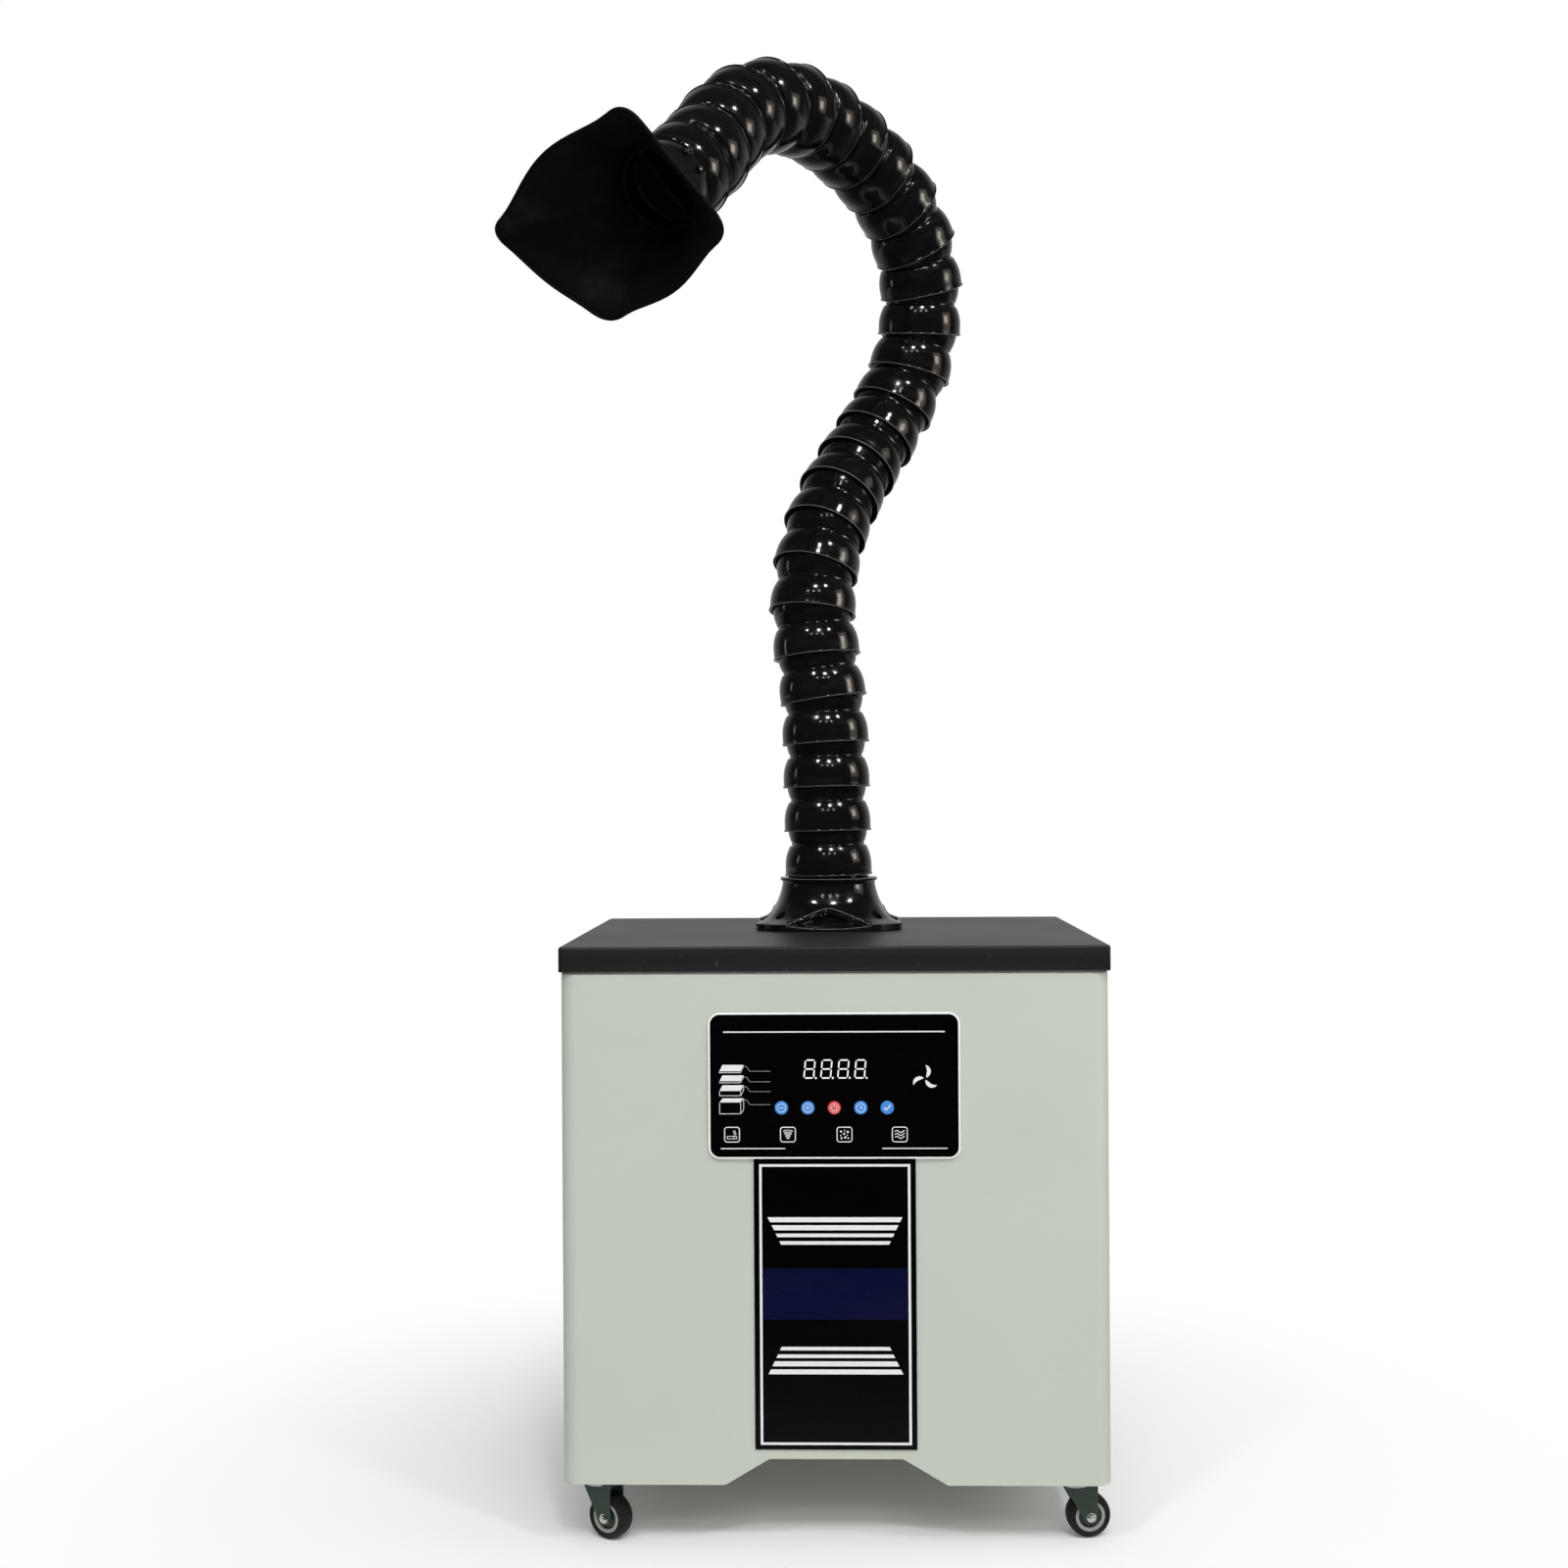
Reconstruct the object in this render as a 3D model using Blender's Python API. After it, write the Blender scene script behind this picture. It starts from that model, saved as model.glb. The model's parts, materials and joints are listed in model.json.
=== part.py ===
"""Solder fume extractor: a filter cabinet on casters with one jointed suction arm.

Metres, +Z up. The front panel faces -Y. The cabinet stands on four swivel casters, its lid carries
the arm flange, and the arm is a chain of like bells, each turning on the ball of the one below it.
"""
import math

import bmesh
import bpy
from mathutils import Matrix, Vector

# Fits shared by all pieces
GAP = 0.0003
OVERRUN = 0.004

# Cabinet: one folded sheet on three sides, a rear panel, and a pressed floor pan
CABINET_WIDTH = 0.480
CABINET_DEPTH = 0.380
CABINET_HEIGHT = 0.4654
FOOT_HEIGHT = 0.057
SHEET = 0.002
CORNER_RADIUS = 0.015
RETURN_FLANGE = 0.014
LID_STEP = 0.001
LID_STEP_HEIGHT = 0.0174
NOTCH_HEIGHT = 0.023
NOTCH_MOUTH_WIDTH = 0.195
NOTCH_TOP_WIDTH = 0.117

# Lid: a shallow tray turned over the top of the cabinet, with a foam gasket under it
LID_SHEET = 0.002
LID_SKIRT_SHEET = 0.0017
LID_SKIRT_HEIGHT = 0.022
LID_CORNER_RADIUS = 0.0045
LID_INNER_CORNER_RADIUS = 0.0012
GASKET_THICKNESS = 0.004
GASKET_WIDTH = 0.011
LID_HOLE_RADIUS = 0.036

# Rear panel: exhaust slots in two columns, and the mains inlet
SLOT_COLUMNS = 2
SLOT_ROWS = 7
SLOT_HEIGHT = 0.006
SLOT_PITCH = 0.014
SLOT_BRIDGE = 0.030
SLOT_RISE = 0.037
INLET_FACE_WIDTH = 0.050
INLET_FACE_HEIGHT = 0.030
INLET_FACE_THICKNESS = 0.0025
INLET_BODY_WIDTH = 0.0275
INLET_BODY_HEIGHT = 0.0205
INLET_BODY_DEPTH = 0.020
INLET_WALL = 0.002
INLET_PIN_WIDTH = 0.002
INLET_PIN_HEIGHT = 0.006
INLET_PIN_PITCH = 0.007
INLET_PIN_SETBACK = 0.004
INLET_INSET = 0.045
INLET_RISE = 0.055

# Control fascia with its five keys, and the long plate below it
FASCIA_WIDTH = 0.2202
FASCIA_HEIGHT = 0.1278
FASCIA_THICKNESS = 0.003
FASCIA_CORNER_RADIUS = 0.010
FASCIA_DROP = 0.051
KEY_RADIUS = 0.0058
KEY_PITCH = 0.0231
KEY_DROP = 0.0831
KEY_THICKNESS = 0.0029
KEY_PROUD = 0.0010
KEY_EDGE = 0.0005
PLATE_WIDTH = 0.1417
PLATE_RISE = 0.0088
PLATE_THICKNESS = 0.001

# Casters: top plate under the pan, swivel fork, wheel on a fixed axle
CASTER_INSET_SIDE = 0.028
CASTER_INSET_END = 0.035
CASTER_PLATE_LENGTH = 0.042
CASTER_PLATE_WIDTH = 0.038
CASTER_PLATE_THICKNESS = 0.0018
CASTER_TRAIL = 0.012
CASTER_TURNS = (-30, 10, -25, 18)
WHEEL_SIDES = 18
WHEEL_RADIUS = 0.0195
WHEEL_WIDTH = 0.0165
WHEEL_SHOULDER = 0.003
WHEEL_RIM_RADIUS = 0.0135
WHEEL_DISH = 0.003
HUB_RADIUS = 0.0075
AXLE_RADIUS = 0.003
FORK_SHEET = 0.002
FORK_CLEARANCE = 0.0005
FORK_BRIDGE = 0.006
FORK_REACH = 0.013
FORK_EYE_RADIUS = 0.0065

# Filter stack on its shelf, from the fan upwards
SHELF_OVER_FAN = 0.0327
SHELF_SHEET = 0.002
SHELF_LEDGE = 0.030
FILTER_SIDE_ROOM = 0.010
FILTER_END_ROOM = 0.012
FILTER_HEADROOM = 0.0518
FILTER_RIM = 0.014
FILTER_RECESS = 0.004
UPPER_FILTER_HEIGHTS = (
    ("medium_filter", 0.060), ("primary_filter", 0.045), ("washable_prefilter", 0.022),
)

# Centrifugal fan under the shelf
FAN_Y = -0.020
HOUSING_HEIGHT = 0.100
HOUSING_SHEET = 0.0025
HOUSING_START_RADIUS = 0.098
HOUSING_GROWTH = 0.040
HOUSING_START_ANGLE = math.radians(60)
HOUSING_STEPS = 20
OUTLET_WIDTH = 0.085
INTAKE_RADIUS = 0.058
IMPELLER_RADIUS = 0.078
IMPELLER_HEIGHT = 0.046
IMPELLER_DISC = 0.003
IMPELLER_EYE_RADIUS = 0.052
IMPELLER_CLEARANCE = 0.0005
BLADE_COUNT = 7
BLADE_THICKNESS = 0.0025
BLADE_SWEEP = math.radians(38)
IMPELLER_HUB_RADIUS = 0.014
SHAFT_RADIUS = 0.004
SHAFT_LENGTH = 0.018
MOTOR_RADIUS = 0.042
MOTOR_HEIGHT = 0.034

# Arm flange on the lid: a cut-cornered foot that sweeps up to a round neck, a lip and a ball
FLANGE_SIDES = 24
FLANGE_WIDTH = 0.144
FLANGE_CUT_CORNER = 0.024
FLANGE_FOOT = 0.006
FLANGE_HEIGHT = 0.050
FLANGE_NECK_RADIUS = 0.0466
FLANGE_LIP_RADIUS = 0.0488
FLANGE_LIP = 0.0035
FLANGE_BACK = 0.055
FLANGE_LEFT = 0.004
FLANGE_SWEEP_SHARES = ((0.62, 0.22), (0.27, 0.46), (0.10, 0.66), (0.00, 0.86))
FLANGE_SLOT_LENGTH = 0.014
FLANGE_SLOT_WIDTH = 0.006
FLANGE_SLOT_REACH = 0.070

# One bell of the arm; heights are measured from the centre of its socket
BELL_SIDES = 16
BELL_PITCH = 0.044
RIM_DROP = 0.005
RIM_RADIUS = 0.0442
SKIRT_RADIUS = 0.0430
SKIRT_HEIGHT = 0.008
DOME_RADIUS = 0.0403
DOME_HEIGHT = 0.0165
STEP_RADIUS = 0.0385
STEP_HEIGHT = 0.0240
BALL_RADIUS = 0.0403
BALL_FOOT = 0.018
BALL_TOP = 0.0115
BORE_RADIUS = 0.0345
SOCKET_ANGLES = (math.radians(34), math.radians(13.5), math.radians(-7))
RIM_STANDOFF = 0.002

# The arm's stored pose: for each bell, degrees sideways from upright (+ to the right) and degrees
# of lean away from the front
ARM_POSE = (
    (-1, 0), (-1, 1), (-1, 1), (-3, 1), (-8, 1), (-5, 3), (5, 9), (14, 17), (22, 24), (28, 29),
    (30, 28), (29, 22), (24, 11), (14, -1), (2, -12), (-11, -21), (-27, -29), (-43, -37),
    (-57, -44), (-70, -50), (-87, -53), (-107, -52), (-128, -47), (-146, -42), (-155, -41),
    (-152, -46),
)

# Hood: a collar on the last ball, and the flared mouth on the collar
HOOD_POSE = (-142, -43)
HOOD_ROLL = math.radians(22)
HOOD_REACH = 0.118
HOOD_WALL = 0.0025
HOOD_NECK_RADIUS = 0.0400
MOUTH_LENGTH = 0.176
MOUTH_WIDTH = 0.124
MOUTH_BULGE = 0.018
MOUTH_CORNER = 0.022
MOUTH_CORNER_SHARES = ((-1.34, 1.00), (-0.93, -0.98), (1.00, -0.98), (0.98, 0.98))
MOUTH_EDGE_STEPS = 5
HOOD_RING_SHARES = (
    (0.00, 0.00), (0.06, 0.00), (0.22, 0.08), (0.45, 0.27), (0.72, 0.60), (1.00, 1.00),
)
COLLAR_LENGTH = 0.046
BOSS_RADIUS = 0.0042
BOSS_HEIGHT = 0.0030
BOSS_ANGLE = math.radians(13)
BOSS_PLACE = 0.032

# Damper in the collar: a round blade on a cross shaft, turned by a knob
DAMPER_PLACE = 0.036
DAMPER_RADIUS = 0.0330
DAMPER_THICKNESS = 0.002
DAMPER_SHAFT_RADIUS = 0.0025
STEM_RADIUS = 0.0058
STEM_LENGTH = 0.0090
KNOB_RADIUS = 0.0046
KNOB_LENGTH = 0.0200
KNOB_GRIP = 0.0070

# Places that follow from the sizes above
FRONT = -CABINET_DEPTH / 2
REAR = CABINET_DEPTH / 2
WALL_TOP = FOOT_HEIGHT + CABINET_HEIGHT
STEP_BOTTOM = WALL_TOP - LID_STEP_HEIGHT
LID_UNDERSIDE = WALL_TOP + GASKET_THICKNESS + 2 * GAP
LID_TOP = LID_UNDERSIDE + LID_SHEET
PAN_TOP = FOOT_HEIGHT + NOTCH_HEIGHT + SHEET
HOUSING_BOTTOM = PAN_TOP + GAP
SHELF_HEIGHT = HOUSING_BOTTOM + HOUSING_HEIGHT + SHELF_OVER_FAN
FILTER_ROOM = LID_UNDERSIDE - SHELF_HEIGHT - SHELF_SHEET - FILTER_HEADROOM
FASCIA_FACE = FRONT - GAP - FASCIA_THICKNESS
FASCIA_TOP = WALL_TOP - FASCIA_DROP
FASCIA_BOTTOM = FASCIA_TOP - FASCIA_HEIGHT
KEY_HEIGHT = FASCIA_TOP - KEY_DROP
PLATE_TOP = FASCIA_BOTTOM - GAP
PLATE_BOTTOM = FOOT_HEIGHT + NOTCH_HEIGHT + PLATE_RISE
SLOT_COLUMN_PITCH = CABINET_WIDTH / (SLOT_COLUMNS + 1)
SLOT_LENGTH = SLOT_COLUMN_PITCH - SLOT_BRIDGE
INLET_X = CABINET_WIDTH / 2 - INLET_INSET
INLET_Z = FOOT_HEIGHT + INLET_RISE
ARM_BASE = Vector((-FLANGE_LEFT, FLANGE_BACK, LID_TOP + GAP + FLANGE_HEIGHT + RIM_STANDOFF + RIM_DROP))
TO_Y = Matrix.Rotation(math.pi / 2, 4, "X")
TO_X = Matrix.Rotation(math.pi / 2, 4, "Y")


def finish(name, colour, roughness, metallic=0.0):
    """A Principled material of one colour (linear RGB)."""
    material = bpy.data.materials.new(name)
    material.use_nodes = True
    shader = material.node_tree.nodes["Principled BSDF"]
    shader.inputs["Base Color"].default_value = (*colour, 1.0)
    shader.inputs["Roughness"].default_value = roughness
    shader.inputs["Metallic"].default_value = metallic
    material.diffuse_color = (*colour, 1.0)
    return material


def piece(name, shape, material, parent, place=Matrix()):
    """Put a closed bmesh, or a mesh that like pieces share, in the scene as one named piece."""
    if isinstance(shape, bmesh.types.BMesh):
        bmesh.ops.recalc_face_normals(shape, faces=shape.faces)
        mesh = bpy.data.meshes.new(name)
        shape.to_mesh(mesh)
        shape.free()
        mesh.materials.append(material)
        mesh.shade_smooth()
        mesh.set_sharp_from_angle(angle=math.radians(32))
    else:
        mesh = shape
    thing = bpy.data.objects.new(name, mesh)
    bpy.context.collection.objects.link(thing)
    thing.parent = parent
    thing.matrix_local = place
    return thing


def holder(name, parent, place=Matrix()):
    """An empty that carries pieces; where they move it sits on their joint's axis."""
    empty = bpy.data.objects.new(name, None)
    bpy.context.collection.objects.link(empty)
    empty.parent = parent
    empty.matrix_local = place
    return empty


def shape_with(target, operation, tools):
    """Cut closed shapes out of a piece, or join them to it, with Boolean modifiers."""
    for number, shape in enumerate(tools):
        material = target.active_material
        tool = piece(f"{target.name}_{operation.lower()}_{number}", shape, material, target)
        tool.hide_render = True
        tool.display_type = "WIRE"
        modifier = target.modifiers.new(f"{operation.title()} {number}", "BOOLEAN")
        modifier.operation = operation
        modifier.solver = "EXACT"
        modifier.object = tool


def pattern_mesh(target):
    """The finished mesh of a piece that was only made to be copied; its tools go with it."""
    bpy.context.view_layer.update()
    evaluated = target.evaluated_get(bpy.context.evaluated_depsgraph_get())
    mesh = bpy.data.meshes.new_from_object(evaluated)
    mesh.name = target.name
    for thing in (*target.children, target):
        bpy.data.objects.remove(thing)
    mesh.shade_smooth()
    mesh.set_sharp_from_angle(angle=math.radians(32))
    return mesh


def upright(x, y, z, turn=0.0):
    """A place with its Z axis up, turned about it by an angle in radians."""
    return Matrix.Translation((x, y, z)) @ Matrix.Rotation(turn, 4, "Z")


def heading(pose):
    """Unit vector of a bell's axis from its sideways and backward angles in degrees."""
    side, back = (math.radians(angle) for angle in pose)
    return Vector((math.sin(side) * math.cos(back), math.sin(back), math.cos(side) * math.cos(back)))


def level_along(direction, roll):
    """Axes whose Z runs along a direction, and whose X is level before the roll about Z."""
    level = Vector((0, 0, 1)).cross(direction).normalized()
    axes = Matrix((level, direction.cross(level), direction)).transposed().to_4x4()
    return axes @ Matrix.Rotation(roll, 4, "Z")


def circle(radius, sides, x=0.0, y=0.0, phase=0.0):
    """Points of a regular outline, counter-clockwise from +X; the phase counts in sides."""
    turns = [math.tau * (side + phase) / sides for side in range(sides)]
    return [(x + radius * math.cos(turn), y + radius * math.sin(turn)) for turn in turns]


def rounded_rectangle(width, depth, radius, steps=3):
    """Outline of a rectangle about the origin with round corners, counter-clockwise."""
    points = []
    for quarter, (across, along) in enumerate(((1, 1), (-1, 1), (-1, -1), (1, -1))):
        for step in range(steps + 1):
            angle = (quarter + step / steps) * math.pi / 2
            points.append((across * (width / 2 - radius) + radius * math.cos(angle),
                           along * (depth / 2 - radius) + radius * math.sin(angle)))
    return points


def at_height(outline, z):
    return [(x, y, z) for x, y in outline]


def at_depth(outline, y):
    return [(x, y, z) for x, z in outline]


def skin(rings, closed):
    """Quads through rings of like point counts; a closed run joins the last ring to the first."""
    shape = bmesh.new()
    rows = [[shape.verts.new(point) for point in ring] for ring in rings]
    following = rows[1:] + rows[:1] if closed else rows[1:]
    for row, other in zip(rows, following):
        for side in range(len(row)):
            last = (side + 1) % len(row)
            shape.faces.new((row[side], row[last], other[last], other[side]))
    return shape, rows


def ring_body(rings):
    """A body with a hole through it, such as a bell or a gasket."""
    return skin(rings, closed=True)[0]


def solid(rings):
    """A body whose first and last rings are its end faces."""
    shape, rows = skin(rings, closed=False)
    shape.faces.new(rows[0][::-1])
    shape.faces.new(rows[-1])
    return shape


def turned(profile, sides):
    """A ring body from a closed profile of (radius, height) points."""
    return ring_body([at_height(circle(radius, sides), height) for radius, height in profile])


def bar(radius, low, high, sides, axis=Matrix()):
    """A round bar, along Z unless an axis rotation is given."""
    shape = solid([at_height(circle(radius, sides), height) for height in (low, high)])
    shape.transform(axis)
    return shape


def block(low, high):
    """A box between two corners."""
    corners = ((low[0], low[1]), (high[0], low[1]), (high[0], high[1]), (low[0], high[1]))
    return solid([at_height(corners, low[2]), at_height(corners, high[2])])


def rectangle(width, height, x=0.0, y=0.0):
    half_width, half_height = width / 2, height / 2
    return [(x - half_width, y - half_height), (x + half_width, y - half_height),
            (x + half_width, y + half_height), (x - half_width, y + half_height)]


def notch_outline(drop=0.0):
    """The trapezoid notch in the lower edges, as (x, z) points from left to right."""
    mouth, top = NOTCH_MOUTH_WIDTH / 2, NOTCH_TOP_WIDTH / 2
    return [(-mouth, FOOT_HEIGHT - drop), (-top, FOOT_HEIGHT + NOTCH_HEIGHT),
            (top, FOOT_HEIGHT + NOTCH_HEIGHT), (mouth, FOOT_HEIGHT - drop)]


def caster_places():
    """Swivel axes of the casters: front left, front right, rear left, rear right."""
    x = CABINET_WIDTH / 2 - CASTER_INSET_SIDE
    y = CABINET_DEPTH / 2 - CASTER_INSET_END
    return (("front_left", -x, -y), ("front_right", x, -y), ("rear_left", -x, y),
            ("rear_right", x, y))


def build_cabinet_shell(root, paint):
    """Front and sides: one sheet bent at two round corners, joggled and turned in at the top."""
    profile = (
        (0, FOOT_HEIGHT), (0, STEP_BOTTOM), (LID_STEP, STEP_BOTTOM), (LID_STEP, WALL_TOP),
        (RETURN_FLANGE, WALL_TOP), (RETURN_FLANGE, WALL_TOP - SHEET),
        (LID_STEP + SHEET, WALL_TOP - SHEET), (LID_STEP + SHEET, STEP_BOTTOM - SHEET),
        (SHEET, STEP_BOTTOM - SHEET), (SHEET, FOOT_HEIGHT),
    )
    half = CABINET_WIDTH / 2
    end = REAR - SHEET - GAP
    stations = [((-half, end), (1, 0))]
    for across, start in ((-1, math.pi), (1, 1.5 * math.pi)):
        for step in range(6):
            angle = start + step / 5 * math.pi / 2
            inward = (-math.cos(angle), -math.sin(angle))
            stations.append(((across * (half - CORNER_RADIUS) - CORNER_RADIUS * inward[0],
                              FRONT + CORNER_RADIUS - CORNER_RADIUS * inward[1]), inward))
    stations.append(((half, end), (-1, 0)))
    rings = [[(x + offset * across, y + offset * along, z) for offset, z in profile]
             for (x, y), (across, along) in stations]
    shell = piece("cabinet_shell", solid(rings), paint, root)
    notch = notch_outline(drop=OVERRUN)
    cutter = solid([at_depth(notch, FRONT - OVERRUN), at_depth(notch, FRONT + OVERRUN)])
    shape_with(shell, "DIFFERENCE", [cutter])


def build_rear_panel(root, paint):
    """Flat rear sheet with exhaust slots, the inlet's opening and the same notch below."""
    half = CABINET_WIDTH / 2
    stepped = half - LID_STEP
    outline = [(-half, FOOT_HEIGHT), *notch_outline(), (half, FOOT_HEIGHT), (half, STEP_BOTTOM),
               (stepped, STEP_BOTTOM), (stepped, WALL_TOP), (-stepped, WALL_TOP),
               (-stepped, STEP_BOTTOM), (-half, STEP_BOTTOM)]
    panel = piece("rear_panel", solid([at_depth(outline, REAR - SHEET), at_depth(outline, REAR)]),
                  paint, root)
    opening = rectangle(INLET_BODY_WIDTH + 2 * GAP, INLET_BODY_HEIGHT + 2 * GAP, INLET_X, INLET_Z)
    cutters = [solid([at_depth(opening, REAR - OVERRUN), at_depth(opening, REAR + OVERRUN)])]
    for column in range(SLOT_COLUMNS):
        x = (column - (SLOT_COLUMNS - 1) / 2) * SLOT_COLUMN_PITCH
        for row in range(SLOT_ROWS):
            z = FOOT_HEIGHT + SLOT_RISE + row * SLOT_PITCH
            slot = rectangle(SLOT_LENGTH, SLOT_HEIGHT, x, z)
            cutters.append(solid([at_depth(slot, REAR - OVERRUN), at_depth(slot, REAR + OVERRUN)]))
    shape_with(panel, "DIFFERENCE", cutters)


def build_power_inlet(root, plastic):
    """Three-pin mains inlet, set in the rear panel from outside."""
    face = REAR + GAP + INLET_FACE_THICKNESS
    flange = rectangle(INLET_FACE_WIDTH, INLET_FACE_HEIGHT, INLET_X, INLET_Z)
    body = rectangle(INLET_BODY_WIDTH, INLET_BODY_HEIGHT, INLET_X, INLET_Z)
    well = rectangle(INLET_BODY_WIDTH - 2 * INLET_WALL, INLET_BODY_HEIGHT - 2 * INLET_WALL,
                     INLET_X, INLET_Z)
    floor = REAR - INLET_BODY_DEPTH + INLET_WALL
    inlet = piece("power_inlet", solid([
        at_depth(well, floor), at_depth(well, face), at_depth(flange, face),
        at_depth(flange, REAR + GAP), at_depth(body, REAR + GAP),
        at_depth(body, REAR - INLET_BODY_DEPTH)]), plastic, root)
    pins = []
    for number in range(3):
        x = INLET_X + (number - 1) * INLET_PIN_PITCH
        z = INLET_Z + (INLET_WALL if number == 1 else -INLET_WALL)
        pin = rectangle(INLET_PIN_WIDTH, INLET_PIN_HEIGHT, x, z)
        tip = REAR - INLET_PIN_SETBACK
        pins.append(solid([at_depth(pin, floor - INLET_WALL / 2), at_depth(pin, tip)]))
    shape_with(inlet, "UNION", pins)


def build_base_plate(root, paint):
    """Floor pan with its pressed channel, and the four caster plates on its underside."""
    half = CABINET_WIDTH / 2 - SHEET - GAP
    front, back = FRONT + SHEET + GAP, REAR - SHEET - GAP
    lower = [(-half, FOOT_HEIGHT), *notch_outline(), (half, FOOT_HEIGHT)]
    slope = math.atan2(NOTCH_HEIGHT, (NOTCH_MOUTH_WIDTH - NOTCH_TOP_WIDTH) / 2)
    spread = SHEET * math.tan(slope / 2)
    shifts = (0, -spread, -spread, spread, spread, 0)
    upper = [(x + shift, z + SHEET) for (x, z), shift in zip(lower, shifts)]
    outline = lower + upper[::-1]
    pan = piece("base_plate", solid([at_depth(outline, front), at_depth(outline, back)]),
                paint, root)
    room = rounded_rectangle(2 * half, back - front, CORNER_RADIUS - SHEET)
    shape_with(pan, "INTERSECT", [solid([at_height(room, 0), at_height(room, WALL_TOP)])])
    plates = []
    for _, x, y in caster_places():
        outline = rectangle(CASTER_PLATE_LENGTH, CASTER_PLATE_WIDTH, x, y)
        plates.append(solid([at_height(outline, FOOT_HEIGHT - CASTER_PLATE_THICKNESS),
                             at_height(outline, FOOT_HEIGHT + SHEET / 2)]))
    shape_with(pan, "UNION", plates)


def build_lid(carrier, paint, foam):
    """Tray lid with the arm's opening, and the gasket that it presses on the cabinet's edge."""
    inner = rounded_rectangle(CABINET_WIDTH + 2 * GAP, CABINET_DEPTH + 2 * GAP,
                              LID_INNER_CORNER_RADIUS)
    outer = rounded_rectangle(CABINET_WIDTH + 2 * (GAP + LID_SKIRT_SHEET),
                              CABINET_DEPTH + 2 * (GAP + LID_SKIRT_SHEET), LID_CORNER_RADIUS)
    hem = LID_TOP - LID_SKIRT_HEIGHT
    lid = piece("top_lid", solid([at_height(inner, LID_UNDERSIDE), at_height(inner, hem),
                                  at_height(outer, hem), at_height(outer, LID_TOP)]),
                paint, carrier)
    hole = circle(LID_HOLE_RADIUS, FLANGE_SIDES, -FLANGE_LEFT, FLANGE_BACK)
    shape_with(lid, "DIFFERENCE", [solid([at_height(hole, LID_UNDERSIDE - OVERRUN),
                                          at_height(hole, LID_TOP + OVERRUN)])])
    edge = 2 * (LID_STEP + GAP)
    strip = edge + 2 * GASKET_WIDTH
    outside = rounded_rectangle(CABINET_WIDTH - edge, CABINET_DEPTH - edge, CORNER_RADIUS)
    inside = rounded_rectangle(CABINET_WIDTH - strip, CABINET_DEPTH - strip,
                               CORNER_RADIUS - GASKET_WIDTH)
    low, high = WALL_TOP + GAP, LID_UNDERSIDE - GAP
    piece("lid_gasket", ring_body([at_height(outside, low), at_height(outside, high),
                                   at_height(inside, high), at_height(inside, low)]),
          foam, carrier)


def build_front_fittings(root, dark, blue, red, black):
    """Fascia with five keys in its holes, and the plate below it, all on the front panel."""
    outline = rounded_rectangle(FASCIA_WIDTH, FASCIA_HEIGHT, FASCIA_CORNER_RADIUS)
    middle = FASCIA_TOP - FASCIA_HEIGHT / 2
    raised = [(x, z + middle) for x, z in outline]
    back = FRONT - GAP
    fascia = piece("control_fascia", solid([at_depth(raised, FASCIA_FACE), at_depth(raised, back)]),
                   dark, root)
    keys = (("button_fan_down", blue), ("button_fan_up", blue), ("button_power", red),
            ("button_timer", blue), ("button_set", blue))
    holes = []
    for number, (name, colour) in enumerate(keys):
        x = (number - (len(keys) - 1) / 2) * KEY_PITCH
        hole = circle(KEY_RADIUS + GAP, 20, x, KEY_HEIGHT)
        holes.append(solid([at_depth(hole, FASCIA_FACE - OVERRUN), at_depth(hole, FRONT)]))
        face = -KEY_PROUD
        key = solid([at_depth(circle(KEY_RADIUS - KEY_EDGE, 20), face),
                     at_depth(circle(KEY_RADIUS, 20), face + KEY_EDGE),
                     at_depth(circle(KEY_RADIUS, 20), face + KEY_THICKNESS)])
        piece(name, key, colour, root, upright(x, FASCIA_FACE, KEY_HEIGHT))
    shape_with(fascia, "DIFFERENCE", holes)
    height = PLATE_TOP - PLATE_BOTTOM
    plate = rectangle(PLATE_WIDTH, height, 0, PLATE_BOTTOM + height / 2)
    piece("front_label_plate", solid([at_depth(plate, back - PLATE_THICKNESS),
                                      at_depth(plate, back)]), black, root)


def fork_mesh(metal):
    """Bent fork with its axle pin: swivel axis on Z, floor at zero, wheel trailing along +X."""
    top = FOOT_HEIGHT - CASTER_PLATE_THICKNESS - GAP
    inner = WHEEL_WIDTH / 2 + FORK_CLEARANCE
    outer = inner + FORK_SHEET
    outline = [(-FORK_REACH, top), (-FORK_REACH, top - FORK_BRIDGE)]
    for step in range(5):
        angle = math.pi * (1 + (step + 0.5) / 5)
        outline.append((CASTER_TRAIL + FORK_EYE_RADIUS * math.cos(angle),
                        WHEEL_RADIUS + FORK_EYE_RADIUS * math.sin(angle)))
    outline += [(CASTER_TRAIL + FORK_EYE_RADIUS, top - FORK_BRIDGE),
                (CASTER_TRAIL + FORK_EYE_RADIUS, top)]
    fork = piece("caster_fork", solid([at_depth(outline, -outer), at_depth(outline, outer)]),
                 metal, None)
    room = block((-FORK_REACH - OVERRUN, -inner, -OVERRUN),
                 (CASTER_TRAIL + WHEEL_RADIUS + OVERRUN, inner, top - FORK_BRIDGE))
    shape_with(fork, "DIFFERENCE", [room])
    pin = bar(AXLE_RADIUS, -inner - FORK_SHEET / 2, inner + FORK_SHEET / 2, 12, TO_Y)
    pin.transform(Matrix.Translation((CASTER_TRAIL, 0, WHEEL_RADIUS)))
    shape_with(fork, "UNION", [pin])
    return pattern_mesh(fork)


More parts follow.
